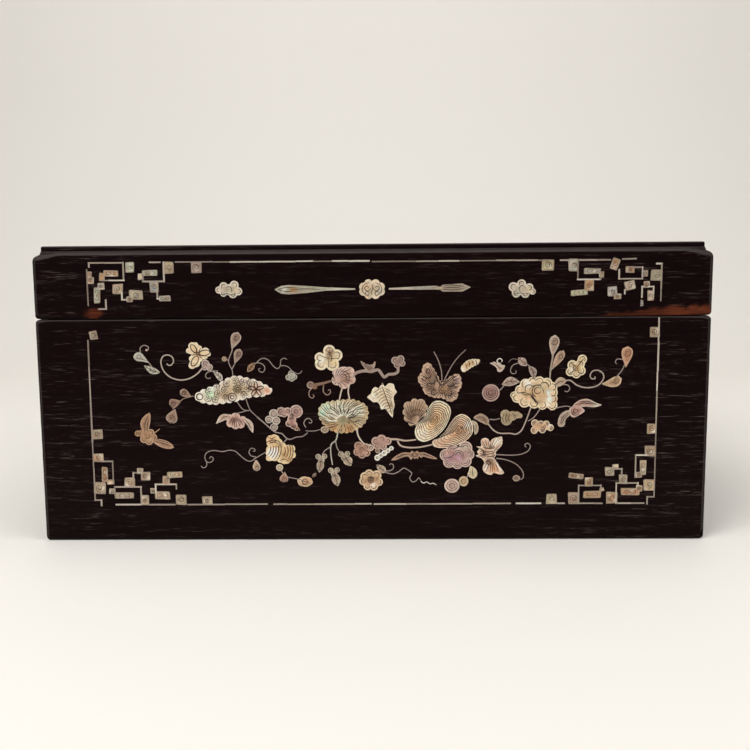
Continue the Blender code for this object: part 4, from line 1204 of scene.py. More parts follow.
    bell = Inlay("inlay_bellflower")
    bell.plate(blade((-67.0, 61.6), (-75.2, 57.9), 3.2, belly=1.1, bend=-1.4), "b9957e", "ddc6b0",
               [(-73.6, 59, 1.4, PAINTED_HIGHLIGHT)])
    bell.plate(blade((-62.4, 61.4), (-57.4, 53.4), 3.0, belly=0.9, bend=1.0), "b79a86", "d6c4b2")
    bell.heap([(-68.6, 60.8, 1.8), (-68.2, 58.2, 1.9), (-65.8, 57.2, 1.9), (-63.2, 57.6, 1.9),
               (-62.2, 59.8, 1.8), (-65.6, 61.0, 2.3)], "b0806e", "e2c2b2",
              [(-66.8, 59.6, 1.6, "8f604e"), (-64.8, 58.2, 1.4, "e6c8ba")], (), 1)
    bell.lines(rays((-65.8, 62.6), [(-69.4, 57.4), (-67.6, 56.2), (-66.4, 55.6), (-65, 55.6), (-63.4, 56),
                                    (-61.8, 57)],
                    6, 0.25, 0.9), 1.1)
    bell.lines([[(-69.0, 61.8), (-71.4, 61.2), (-74.0, 58.8)], [(-61.4, 60.4), (-59.4, 58.0), (-58.0, 55.0)],
                [(-62.6, 60.0), (-60.4, 57.4), (-58.8, 55.4)]], 1.0)
    bell.finish("nacre_pink", "bellflower")

    cluster = Inlay("inlay_arch_cluster")
    for x, z, size in ((-47.2, 56.2, 3.8), (-49.5, 60.0, 3.7), (-46.1, 59.4, 4.0), (-47.2, 62.8, 4.4)):
        cluster.ball(x, z, size, "b3a093", "d8cabb", (0.62,))
    cluster.heap([(-43.6, 63.7, 2.3), (-40.6, 63.8, 2.0), (-42.2, 62.4, 1.4)], "b08c80", "d8bcae", (),
                 (0.55,), 1.1)
    cluster.heap([(-38.6, 59.8, 2.1), (-37.8, 57.2, 1.9), (-40.0, 58.0, 1.6), (-38.6, 61.6, 1.8)], "ad8276",
                 "d6b6a8", (), (0.6, 0.3), 1.1)
    cluster.ball(-36.4, 63.8, 6.4, "b08a7e", "dcc0b2", (0.3, 0.72))
    cluster.leaf((-38.4, 56.6), (-34.6, 54.6), 2.2, "b9947c", "d8b8a0")
    cluster.finish("nacre_pink", "arch_cluster")

    peony = Inlay("inlay_peony_left")
    edge = list(scallop([(-51.0, 39.9), (-45.8, 39.9), (-43.0, 38.0), (-40.0, 38.6), (-39.2, 40.8),
                         (-36.8, 41.4), (-37.9, 43.4), (-37.3, 47.2), (-42.2, 47.2), (-44.0, 49.6),
                         (-46.0, 52.4), (-50.4, 52.0), (-50.9, 48.6), (-49.9, 47.6),
                         (-51.2, 44.6)], 2.4, 0.4))
    peony.plate(edge, "d0a368", "f2d9ac",
                [(-46.5, 43.2, 3.0, "fff2d6"), (-49.4, 43.0, 2.0, "f6e0b4"), (-48.6, 50.4, 2.0, "e0ae7c"),
                 (-40, 40.2, 2.0, "b98a58"), (-39.8, 45.4, 2.0, "d2a878"), (-44.4, 47.4, 1.4, "7c5632"),
                 (-42.6, 42.6, 1.4, "a9794a")])
    peony.lines([arc(-53.2, 46.0, radius, -62 + 2.4 * radius, 16 - radius)
                 for radius in (4.2, 5.5, 6.8, 8.0, 9.3)], 1.3)
    peony.painted_glints([arc(-53.2, 46.0, radius, -56, 2) for radius in (3.6, 4.9, 6.1, 7.4)], 0.85)
    peony.lines([arc(-46.6, 44.6, radius, -34, 24) for radius in (4.6, 6.0, 7.3, 8.4)], 1.2)
    peony.lines([arc(-47.6, 47.4, radius, 20, 150, 0.7) for radius in (2.2, 3.6)], 1.3)
    peony.lines([[(-50.2, 51.4), (-48.4, 50.4), (-46.6, 51.6)],
                 [(-50.0, 49.4), (-48.2, 48.6), (-46.0, 49.6)],
                 [(-44.6, 39.6), (-43.0, 40.6), (-40.6, 39.8)]], 1.3)
    peony.finish("nacre_cream", "peony_left")


def draw_left_small():
    """The twigs, buds and curls at the left, which are too small for the solid model."""
    scroll = Inlay("inlay_scroll_left")
    scroll.stem((-80.6, 85.4), (-83.5, 82.3), (-87.5, 80.0), (-92.0, 79.4), (-96.5, 80.8), (-99.6, 84.0),
                (-100.7, 88.0), (-99.6, 90.8), (-97.3, 91.5), (-95.3, 90.6), (-94.6, 88.5), (-95.6, 86.8),
                (-97.0, 86.5), (-98.0, 87.4), wide=0.95, thin=0.7, tone="c3b3a4")
    scroll.finish("nacre_silver", "scroll_left")

    sprig = Inlay("inlay_far_left_sprig")
    sprig.stem((-108.0, 89.4), (-106.5, 87.8), (-104.6, 85.2), (-102.5, 83.4))
    sprig.plate(smooth([(-106.8, 88.0), (-109.2, 88.4), (-112.4, 88.8), (-113.8, 90.6), (-112.4, 92.6),
                        (-110.2, 92.6), (-108.4, 90.6)], 3), "a09a8c", "cbc6b8",
                [(-111.6, 91.2, 1.4, "c9cbc0")])
    sprig.lines([[(-107.6, 88.8), (-110.0, 89.6), (-112.6, 90.2)], arc(-111.2, 90.8, 0.8, 0, 250)], 0.9)
    sprig.leaf((-101.3, 83.0), (-108.9, 86.6), 3.2, "a59c8a", "d2ccba", belly=1.2, bend=0.7)
    sprig.stem((-110.4, 92.6), (-110.3, 95.0), (-108.5, 96.2), (-106.6, 95.5), (-106.5, 94.2),
               (-107.2, 93.7))
    sprig.ball(-107.4, 93.9, 1.1, "c9b6a2", shares=())
    sprig.finish("nacre_beige")

    buds = Inlay("inlay_left_buds")
    buds.bud((-66.6, 94.0), (-63.4, 102.2), 4.9, "8f7463", "c9b4a2")
    buds.bud((-65.4, 87.0), (-62.7, 94.2), 4.0, "8f7464", "c0a998")
    buds.stem((-65.3, 97.0), (-66.8, 92.5), (-68.3, 88.5), (-67.3, 85.4), (-66.6, 83.8), (-66.4, 81.4))
    buds.stem((-66.6, 84.7), (-65.2, 87.3), (-64.0, 89.6))
    buds.stem((-70.3, 89.4), (-69.2, 89.3), (-68.3, 88.6), thin=0.6)
    buds.ball(-70.3, 89.4, 2.4, "c3a88c")
    buds.heap([(-79.4, 87.2, 1.9), (-77.6, 85.4, 1.7), (-79.8, 85.4, 1.4)], "b0968a", "d8c6ba",
              (), (0.6,), 0.9)
    buds.leaf((-71.6, 78.6), (-76.0, 83.4), 2.9, "b7a298", "ddd0c4", belly=1.3, bend=-0.7)
    buds.stem((-73.5, 83.6), (-76.0, 83.7), (-78.6, 82.9), (-79.5, 81.3), (-78.9, 80.2), (-77.6, 80.1),
              (-77.2, 80.6))
    buds.finish("nacre_beige")

    vine = Inlay("inlay_left_vine")
    vine.leaf((-59.5, 83.0), (-55.7, 87.6), 3.0, "a07a5c", "bb9576")
    vine.stem((-56.0, 87.0), (-54.0, 87.5), (-51.7, 86.5), (-51.0, 84.5), (-52.0, 83.0), (-53.5, 83.3),
              (-54.0, 84.4), (-53.0, 84.8), wide=0.65)
    vine.stem((-54.8, 87.6), (-52.5, 89.5), (-49.5, 89.0), (-47.0, 86.0), (-45.0, 84.6), (-43.6, 86.0),
              (-43.3, 88.6), (-41.8, 89.6), (-40.3, 89.0), wide=0.65)
    vine.stem((-43.6, 86.0), (-41.4, 86.0), (-39.5, 85.2), (-38.0, 83.3), wide=0.6)
    vine.heap([(-39.8, 80.4, 1.4), (-38.2, 79.8, 1.4), (-36.9, 80.6, 1.3), (-38.4, 82.2, 1.5)],
              "a8a292", "d2cdbd")
    vine.stem((-38.5, 84.0), (-36.5, 82.5), (-34.5, 82.2), (-33.2, 83.6), wide=0.55)
    vine.finish("nacre_beige")

    chain = Inlay("inlay_leaf_chain")
    chain.stem((-85.6, 71.6), (-88.0, 71.0), (-91.0, 70.0), (-93.5, 67.0), (-96.0, 65.3), wide=0.6,
               tone="a68c7a")
    chain.bud((-86.5, 71.2), (-92.0, 74.2), 3.7, "8a6a56", "b79c88")
    chain.bud((-92.2, 69.4), (-97.4, 67.4), 4.4, "856150", "b08f7c")
    chain.bud((-94.6, 65.4), (-97.4, 58.4), 5.6, "8f6d58", "b9a08c")
    chain.finish("nacre_tan")

    twigs = Inlay("inlay_bell_twigs")
    twigs.stem((-64.5, 68.4), (-62.0, 65.0), (-58.8, 64.3), wide=0.6)
    twigs.stem((-60.0, 64.4), (-62.6, 63.6), (-65.5, 63.0), wide=0.6)
    twigs.stem((-60.5, 70.4), (-58.7, 65.0), (-56.4, 62.4), (-55.0, 61.0), wide=0.6)
    twigs.stem((-55.0, 61.0), (-51.0, 57.5), (-47.0, 54.0), (-43.5, 53.0), (-41.5, 51.0), (-39.5, 50.2),
               (-36.5, 51.3), (-33.6, 51.6), (-31.0, 53.4), wide=0.9, thin=0.6)
    twigs.stem((-41.0, 50.4), (-42.8, 48.7), (-44.0, 48.0), wide=0.7)
    twigs.finish("nacre_silver")

    tendril = Inlay("inlay_left_tendril")
    tendril.stem((-56.4, 41.0), (-58.6, 39.6), (-60.8, 39.9), (-63.5, 42.0), (-66.0, 44.3), (-69.0, 45.0),
                 (-72.5, 44.3), (-76.5, 44.9), (-79.8, 44.0), (-81.0, 42.0), (-80.6, 39.8), (-79.2, 38.9),
                 (-77.4, 39.6), (-77.0, 41.0), (-78.0, 41.9), (-78.8, 41.0), wide=0.6, thin=0.55)
    tendril.stem((-80.3, 39.5), (-80.3, 37.3), (-81.8, 36.3), (-83.0, 37.2), wide=0.6)
    tendril.stem((-56.3, 41.6), (-58.6, 42.2), (-59.6, 44.0), (-58.6, 45.8), (-57.0, 45.6), (-56.6, 44.6),
                 (-57.6, 44.4), wide=0.6)
    tendril.stem((-57.4, 40.4), (-54.0, 42.5), (-51.2, 44.0), wide=0.7)
    tendril.bud((-56.2, 40.6), (-56.0, 34.6), 3.7, "b3927a", "d4bca6")
    tendril.finish("nacre_silver")

    low = Inlay("inlay_left_low_buds")
    low.ball(-44.9, 36.3, 3.4, "c3b196", "dccbb0")
    low.bud((-42.4, 34.2), (-43.2, 28.9), 4.2, "a87a64", "cda68e")
    low.stem((-44.6, 35.4), (-42.0, 32.0), (-38.0, 31.0), (-35.6, 30.4), wide=0.7)
    low.plate(lobed(-32.7, 29.3, 7.6, 5.2, 6, 0.08, -15), "c79b72", "dcbb98", [(-34.4, 30, 1.6, "e8d2b0")])
    low.lines([arc(-32.7, 29.3, 1.3), [(-35.4, 30.6), (-33.4, 29.6), (-30, 28.3)],
               [(-34, 27.8), (-32, 27.8)]], 1.1)
    low.leaf((-29.2, 31.4), (-27.2, 33.6), 1.5, "a98e78", pairs=1)
    low.finish("nacre_tan")


# Centre

def draw_centre():
    """The blossoms, the chrysanthemum and the larger leaves in the middle."""
    blossom = Inlay("inlay_blossom_top")
    blossom.heap([(-20.1, 93.0, 2.9), (-16.6, 90.9, 2.8), (-18.6, 86.5, 3.1), (-24.0, 86.8, 3.0),
                  (-24.6, 89.8, 2.5), (-20.6, 89.4, 3.2)], "d9bf96", "f6e6c6",
                 [(-23.8, 88.6, 2.4, PAINTED_HIGHLIGHT), (-19.6, 92, 1.8, "8a5f38"),
                  (-17.6, 87, 2.0, "f2d9a6"), (-20.6, 89.6, 1.2, "7a5230")])
    blossom.lines([[(-21.8, 93.8), (-18.6, 90.6)], [(-20.2, 94.4), (-19.8, 90.2)],
                   [(-21.8, 91.4), (-17.8, 92.8)], [(-21.4, 89.6), (-24.6, 91.0)],
                   [(-20.6, 88.8), (-20.4, 85.0)], [(-19.6, 89.4), (-15.6, 89.2)]], 1.3)
    blossom.finish("nacre_cream", "blossom_top")

    rose = Inlay("inlay_rose_leaf")
    edge = list(heap_edge([(-13.3, 80.7, 4.7), (-16.4, 82.6, 2.4), (-10.7, 82.8, 2.5), (-9.9, 79.2, 2.2),
                           (-13.3, 77.2, 2.5), (-16.6, 78.9, 2.5)]))
    rose.plate(edge, "c29a88", "e0c4b4", [(-15.8, 82.6, 2.2, "e8d2c4"), (-11, 78.4, 2.4, "b08472")])
    rose.lines(rays((-16.8, 78.4), edge, 15, 0.28, 0.92, 0.12), 0.95)
    rose.lines([arc(-13.6, 80.2, 1.6, -60, 120), arc(-13.6, 80.2, 3.0, -50, 110)], 1.1)
    rose.finish("nacre_pink", "rose_leaf")

    mum = Inlay("inlay_chrysanthemum")
    reaches = (11.8, 12.0, 9.5, 8.2, 7.0, 7.4, 9.0, 11.5, 11.3, 10.0, 9.0, 8.6, 8.2, 8.6, 9.3, 10.7)
    tips = [(-14.0 + reach * math.cos(math.pi * step / 8), 61.8 + reach * math.sin(math.pi * step / 8))
            for step, reach in enumerate(reaches)]
    edge = list(scallop(smooth(tips, 3), 2.5, 0.75))
    # The mint spots at the upper left are painted highlights
    mum.plate(edge, "b39f7c", "d4b98e",
              [(-22.0, 65.4, 3.6, "d6f2d6"), (-23.8, 62.6, 2.4, "bfe6cf"), (-16, 67.0, 2.8, "eaeccc"),
               (-7.0, 64.4, 3.8, "b4bca2"), (-14, 59.4, 2.6, "8c876c"), (-11, 55.2, 3.6, "c9925e"),
               (-18.6, 55.6, 3.8, "d0a06a"), (-5.0, 58.8, 2.8, "d8c4a0")])
    eye = (-14.4, 59.4)
    upper = [spot for spot in edge if spot[1] > 61]

    def most_rays(left_out, *given):
        return [ray for ray in rays(eye, *given) if mum.draw.random() > left_out]

    mum.painted_glints(most_rays(0.2, upper, 23, 0.18, 0.90, 0.14), 0.55, "f6f2dc")
    mum.lines(most_rays(0.25, upper, 17, 0.22, 0.70, -0.16), 1.3)
    mum.lines(most_rays(0.15, edge, 45, 0.60, 0.96, 0.10), 0.95)
    mum.lines(most_rays(0.3, edge[3:] + edge[:3], 21, 0.26, 0.52, 0.2), 0.95)
    mum.finish("nacre_silver", "chrysanthemum")

    leaf = Inlay("inlay_vine_leaf")
    edge = smooth([(4.2, 76.2), (5.4, 77.0), (6.3, 75.6), (8.0, 77.2), (10.4, 76.9), (11.0, 74.6),
                   (12.0, 73.0), (10.7, 71.4), (10.4, 69.4), (10.9, 66.6), (10.2, 63.9), (9.9, 60.6),
                   (8.1, 62.7), (6.5, 64.9), (4.4, 64.6), (3.9, 66.4), (2.7, 68.2), (0.7, 68.1),
                   (-0.6, 69.2), (-2.3, 70.6), (-0.5, 72.2), (0.3, 74.4), (1.8, 75.6), (3.2, 74.8)], 2)
    leaf.plate(edge, "e6cba6", "f8e8cc", [(3, 70.8, 2.4, "e8d6b8"), (8.6, 66.6, 2.4, "bd9b7a"),
                                          (9.4, 73.2, 2, "ecdcc0"),
                                          (5.2, 66, 1.4, PAINTED_HIGHLIGHT), (1, 71, 1.4, PAINTED_HIGHLIGHT)])
    leaf.line([(5.0, 75.6), (6.4, 71.6), (8.2, 66.6), (9.4, 62.4)], 1.3)
    for step in range(9):
        x = 5.2 + step * 0.46
        z = 75.2 - 1.42 * step
        leaf.line([(x, z), (x - 1.9, z - 0.8), (x - 4.6 + step * 0.40, z - 2.7 + step * 0.14)], 0.85)
        leaf.line([(x + 0.5, z), (x + 2.0, z - 0.8), (x + 4.6 - 0.50 * step, z - 2.3 + 0.10 * step)], 0.85)
    leaf.finish("nacre_cream", "vine_leaf")

    middle = Inlay("inlay_flower_mid")
    middle.heap([(-6.6, 46.8, 2.1), (-7.2, 43.9, 1.9), (-5.0, 42.4, 1.8), (-2.8, 43.5, 1.9),
                 (-3.2, 46.2, 1.9), (-5.0, 45.0, 1.8)], "9c705a", "c9a18a",
                [(-3.6, 43.4, 1.6, "d2ab90"), (-6.8, 46.4, 1.4, "b98a74")])
    middle.finish("nacre_tan", "flower_mid")
    low = Inlay("inlay_blossom_low")
    low.heap([(-3.6, 31.6, 2.3), (-1.6, 33.0, 2.2), (2.0, 32.4, 2.3), (3.0, 29.0, 2.0), (0.6, 26.9, 2.1),
              (-2.4, 27.0, 2.0), (-4.4, 29.4, 2.0), (-0.6, 30.0, 2.4)], "c1966e", "e8cca6",
             [(-0.8, 30.2, 1.4, "7c5430"), (-3.6, 29.0, 1.2, "a4764a"), (2.2, 30.8, 1.2, "a4764a"),
              (0.4, 27.4, 1.4, PAINTED_HIGHLIGHT)])
    low.lines([arc(-0.7, 30.2, 0.7), arc(-0.7, 30.2, 1.5, 30, 330)], 1.3)
    low.finish("nacre_beige", "blossom_low")


def draw_centre_small():
    """The stems, curls, berries and leaflets in the middle, which are too small for the solid model."""
    curled = Inlay("inlay_curled_sprig")
    curled.stem((-28.8, 76.4), (-25.4, 77.0), (-22.6, 77.6), (-19.4, 78.6), wide=2.4, thin=1.4,
                tone="8d6e5c")
    curled.ball(-29.3, 76.6, 3.6, "8f7360", "b39c8a", shares=(0.45,))
    curled.ball(-27.2, 75.6, 2.2, "8f694e", shares=())
    curled.stem((-28.5, 75.2), (-30.0, 73.4), (-29.9, 71.2), (-28.6, 70.3), (-27.6, 71.2), (-28.2, 72.0),
                wide=0.7, tone="a98d7c")
    curled.stem((-23.0, 76.6), (-23.2, 73.5), (-21.6, 71.8), (-19.9, 72.6), (-20.0, 74.3), (-21.0, 73.9),
                wide=0.7, tone="a98d7c")
    curled.finish("nacre_tan")

    coral = Inlay("inlay_coral_sprig")
    coral.stem((-9.6, 80.6), (-7.6, 82.2), (-5.5, 83.0), (-3.0, 83.3), (0.0, 83.0), (3.0, 83.8), (4.6, 82.0),
               (6.0, 80.2), (8.0, 81.5), (10.8, 81.8), (12.6, 83.0), (12.2, 86.0), wide=2.1, thin=1.9,
               tone="ad988c")
    coral.plate([(-5.4, 88.2), (-4.0, 87.4), (-2.6, 86.6), (-1.0, 86.2), (0.6, 86.4), (1.4, 87.8),
                 (2.0, 87.6), (1.6, 85.6), (1.0, 83.8), (-0.6, 82.6), (-2.4, 83.2), (-3.4, 84.6),
                 (-4.6, 86.4)], "8a7060", "b8a090")
    coral.lines([[(-4.8, 87.6), (-2.6, 85.2), (-0.6, 83.2)], [(-3.4, 87.0), (-1.6, 85.4), (0.0, 83.6)],
                 [(-1.0, 86.0), (0.2, 84.8), (0.8, 84.0)]], 0.9)
    coral.heap([(11.2, 88.2, 1.8), (13.8, 88.9, 1.8), (14.6, 86.8, 1.5), (12.2, 86.2, 1.6)],
               "8d7468", "bfa89a")
    coral.finish("nacre_pink")

    stems = Inlay("inlay_centre_stems")
    stems.stem((-10.4, 77.6), (-11.0, 75.6), (-11.3, 73.0), (-10.6, 69.6), wide=1.1, thin=0.9,
               tone=PALE_STEM)
    stems.stem((-13.6, 76.6), (-14.8, 72.8), (-15.6, 69.2), wide=1.1, thin=0.9, tone=PALE_STEM)
    stems.stem((5.1, 77.5), (5.0, 76.2), (5.3, 75.0), wide=0.8)
    stems.stem((-31.8, 56.0), (-32.8, 58.0), (-31.8, 60.0), (-30.0, 60.3), (-28.9, 58.9), (-29.6, 58.0),
               (-30.4, 58.6), wide=0.7)
    stems.stem((-32.0, 54.4), (-29.6, 54.2), (-27.0, 54.4), (-25.0, 55.0), wide=0.55)
    stems.ball(-22.8, 54.9, 4.0, "a8927c", "c4b09a", height=3.4)
    stems.stem((-16.4, 54.6), (-16.8, 52.0), (-17.6, 49.5), (-19.8, 47.5), (-20.0, 43.0), (-19.3, 37.6),
               wide=1.0, thin=0.7, tone="c6c0b2")
    stems.stem((-17.7, 49.8), (-17.0, 46.0), (-15.4, 43.4), wide=0.8)
    stems.stem((-20.1, 46.4), (-23.0, 44.5), (-24.3, 42.3), wide=0.7)
    stems.stem((-7.3, 55.6), (-6.8, 52.0), (-5.0, 49.0), (-3.0, 47.4), (-0.6, 47.4), wide=1.1, thin=0.9,
               tone=PALE_STEM)
    stems.stem((7.4, 50.0), (12.0, 50.0), (16.0, 49.3), (21.2, 49.8), wide=1.5, thin=0.9, tone="cbb29f")
    stems.stem((12.2, 49.3), (13.5, 47.0), (17.0, 46.0), (22.0, 46.0), (27.0, 46.9), (29.6, 47.6), wide=1.2,
               thin=0.9, tone="c9b3a2")
    stems.finish("nacre_silver")

    trio = Inlay("inlay_leaf_trio")
    for x, z, width, tip in ((-24.6, 40.4, 5.6, (-25.7, 33.8)), (-13.6, 41.6, 6.8, (-10.3, 37.0)),
                             (-18.6, 33.6, 6.4, (-16.8, 26.9))):
        trio.leaf((x, z + 0.8), tip, width * 0.66, "a48c76", "c9b8a2", belly=0.9, pairs=2)
        trio.heap([(x - 1.5, z + 1.2, 1.35), (x + 1.5, z + 1.4, 1.3), (x, z - 0.6, 1.5)], "a59078", "cbbda6")
    trio.finish("nacre_silver")

    berries = Inlay("inlay_centre_berries")
    berries.heap([(4.5, 50.0, 2.3), (7.4, 49.1, 1.9), (1.8, 49.0, 2.2), (5.2, 46.6, 1.8), (2.4, 46.6, 1.7)],
                 "a98272", "cdac9c", [(5, 49, 2, "c09a8a")], (0.5,), 0.9)
    berries.ball(-0.6, 45.9, 3.0, "c2a392", "dcc4b2")
    berries.ball(2.6, 44.4, 2.4, "b08c7a", "d0b09c")
    for step in range(5):
        share = step / 4
        berries.ball(2.4 + 6.8 * share, 41.0 + 4.6 * share, (2.9, 2.5, 2.8, 2.3, 2.2)[step], "e9dfc8",
                     "fffaf0", (0.35,))
    berries.finish("nacre_pink")

    tendril = Inlay("inlay_low_tendril")
    tendril.leaf((6.6, 33.6), (1.8, 37.6), 3.4, "b7a087", "d2c0a8", belly=1.2)
    tendril.stem((5.0, 34.5), (8.0, 34.5), (10.0, 35.5), (10.0, 37.5), (8.8, 38.0), (8.2, 37.3), wide=0.7)
    tendril.stem((5.5, 34.0), (9.5, 33.0), (12.5, 34.0), (15.0, 35.8), (17.0, 35.0), (19.0, 33.2),
                 (18.0, 31.0), (19.2, 29.0), (21.0, 29.5), (22.3, 31.0), (23.3, 29.8), wide=0.65, thin=0.55)
    tendril.stem((23.3, 29.4), (24.6, 28.4), (26.2, 28.9), (27.8, 28.0), (29.4, 28.3), (30.8, 27.4),
                 wide=0.6, tone="dcd6cc")
    tendril.finish("nacre_silver")


# Fruit and insects

def melon(name, slot, edge, eye, inner, rim, spots):
    """A cut melon: fine rings of its flesh about the seeds."""
    fruit = Inlay(f"inlay_{name}")
    fruit.plate(edge, inner, rim, spots)
    shares = [0.22 + 0.70 * step / 6 + fruit.draw.uniform(-0.012, 0.012) for step in range(7)]
    fruit.lines(rings(eye, edge, *shares), 1.1)
    fruit.lines([arc(*eye, 0.5), arc(eye[0] + 1.2, eye[1] + 1.0, 0.5),
                 arc(eye[0] - 1.0, eye[1] - 1.1, 0.45)], 0.9)
    fruit.finish(slot, name)


def draw_fruit():
    """The melons, and the leaves, twigs and buds about them."""
    melon("melon_left", "nacre_cream", smooth(MELON_LEFT, 3), (30.0, 59.4), "f4c38c", "fff0d2",
          [(24.6, 53, 4, "fff0d8"), (34.0, 64.2, 3.0, "ecd2ae"), (30, 59.6, 2.0, "bd8f66"),
           (31, 53.6, 2.4, "e8d2b2")])
    melon("melon_right", "nacre_beige", smooth(MELON_RIGHT, 3), (41.6, 54.4), "f2ba8a", "ffe6c8",
          [(45.6, 56.6, 2.2, PAINTED_HIGHLIGHT), (34, 48, 3.0, "e2b596"), (41.4, 54.2, 2.0, "b98a68"),
           (46.8, 58.0, 1.4, "f4f6e4")])

    leaf = Inlay("inlay_melon_leaf")
    leaf.heap([(44.8, 45.6, 3.3), (38.6, 44.4, 3.1), (35.4, 42.2, 2.9), (37.0, 38.8, 2.9), (41.0, 38.0, 2.7),
               (44.8, 39.2, 3.0), (46.6, 42.4, 2.5), (41.4, 42.0, 3.4)], "b08580", "dcc2b4",
              [(37, 40.4, 2.4, "a87888"), (44.6, 45.8, 2.4, "cdbfa8"), (41.6, 41, 2.0, "c99cae"),
               (36, 43.6, 1.8, "d6a99a")],
              (0.72, 0.42), 0.95)
    leaf.lines([[(38.4, 44.6), (41.4, 46.2), (44.2, 46.4)], [(34.6, 40.8), (37.4, 41.0), (39.6, 42.6)]], 1.2)
    leaf.finish("nacre_pink", "melon_leaf")
    behind = Inlay("inlay_melon_leaf_behind")
    behind.plate(smooth([(47.2, 58.4), (48.6, 59.0), (50.3, 57.8), (51.0, 55.6), (50.6, 53.2), (49.2, 52.0),
                         (49.0, 53.6), (48.9, 56.4)], 3), "ad9074", "d8c8ac")
    behind.lines([[(50.0, 57.0), (49.7, 55.0), (49.7, 53.2)]], 0.8)
    behind.finish("nacre_silver")

    round_leaf = Inlay("inlay_round_leaf")
    edge = list(heap_edge([(21.4, 63.6, 4.4), (20.4, 68.0, 1.8), (23.4, 67.4, 2.2), (25.0, 65.4, 1.8),
                           (17.4, 66.2, 2.2), (16.6, 63.2, 1.9), (17.2, 60.4, 1.9), (19.0, 58.0, 1.6),
                           (21.0, 58.2, 1.5), (24.0, 62.6, 2.0)]))
    round_leaf.plate(edge, "a07d62", "ccb094", [(19.0, 61, 2.4, "8d6a50"), (23.0, 66, 2.4, "b9997a")])
    round_leaf.lines(rays((21.6, 57.8), edge, 27, 0.30, 0.94, 0.08), 0.95)
    round_leaf.lines([arc(21.6, 58.0, radius, 50, 135) for radius in (4.0, 6.4)], 0.9)
    round_leaf.finish("nacre_tan", "round_leaf")

    twigs = Inlay("inlay_melon_twigs")
    twigs.plate(smooth([(48.6, 60.4), (50.5, 61.9), (52.6, 62.3), (54.8, 61.0), (56.1, 59.0), (55.4, 56.9),
                        (54.0, 57.2), (52.1, 58.2), (50.1, 59.3)], 3), "93755f", "bca48f")
    twigs.lines([[(50.0, 60.4), (52.6, 60.8), (55.0, 59.2)], [(52.0, 59.0), (53.6, 59.2), (55.0, 57.8)]],
                0.9)
    twigs.stem((55.5, 57.5), (58.0, 54.5), (61.0, 52.8), (66.0, 52.7), (69.0, 52.3), (71.5, 54.0),
               (73.0, 57.0), (74.5, 61.0), (76.0, 65.4), wide=0.95, thin=0.85, tone="bfa99b")
    twigs.stem((80.5, 64.8), (77.5, 60.5), (74.6, 58.6), wide=0.8)
    twigs.stem((56.4, 59.6), (58.6, 59.4), (61.4, 60.0), wide=0.8)
    twigs.heap([(63.8, 61.9, 2.3), (64.4, 59.2, 2.6), (67.2, 61.2, 2.3), (69.4, 61.6, 1.7),
                (70.8, 61.2, 1.2)], "948264", "baa686",
               [(66, 60.4, 1.6, "ab8f6c")], ())
    twigs.lines([[(x + 0.4, 62.4), (x - 0.3, 60.2), (x + 0.3, 58.2)] for x in (62.8, 64.2, 65.6)], 1.1)
    twigs.lines([[(67.2, 62.4), (68.6, 61.2), (68.2, 59.8)]], 1.1)
    twigs.finish("nacre_tan")

    disc_fruit = Inlay("inlay_disc_fruit")
    disc_fruit.plate(disc(56.8, 72.4, 8.4), "987068", "c9aa9c", [(55.2, 73.6, 1.8, "b3887c")])
    disc_fruit.lines([arc(56.8, 72.4, radius, 40 * radius, 40 * radius + 320) for radius in (1.2, 2.3, 3.3)])
    disc_fruit.stem((61.0, 73.6), (62.2, 74.8), (63.5, 76.3), wide=0.8)
    disc_fruit.leaf((61.8, 76.2), (70.6, 77.6), 4.4, "b3998a", "d0bba8", bend=1.0)
    disc_fruit.finish("nacre_pink", "disc_fruit")

    buds = Inlay("inlay_low_buds")
    buds.plate(smooth([(47.2, 36.8), (46.6, 34.6), (45.9, 32.4), (47.4, 31.0), (48.8, 30.5), (50.2, 31.6),
                       (50.6, 33.4), (49.6, 35.4)], 3), "cdb896", "e2cfae")
    buds.lines([[(48.2, 35.6), (48.2, 33.4), (48.6, 31.6)], [(47.2, 34.6), (47.0, 33.0)]])
    buds.ball(44.0, 29.2, 4.6, "bfa07a", "dcc09a", height=5.0)
    buds.ball(38.4, 27.0, 7.4, "b99a8c", "d9c2b2", (0.35, 0.7), height=7.0)
    buds.stem((46.4, 32.4), (45.6, 31.4), (44.8, 31.0), wide=0.8)
    buds.stem((42.2, 28.4), (41.6, 27.8), (41.0, 27.4), wide=0.8)
    buds.finish("nacre_beige")


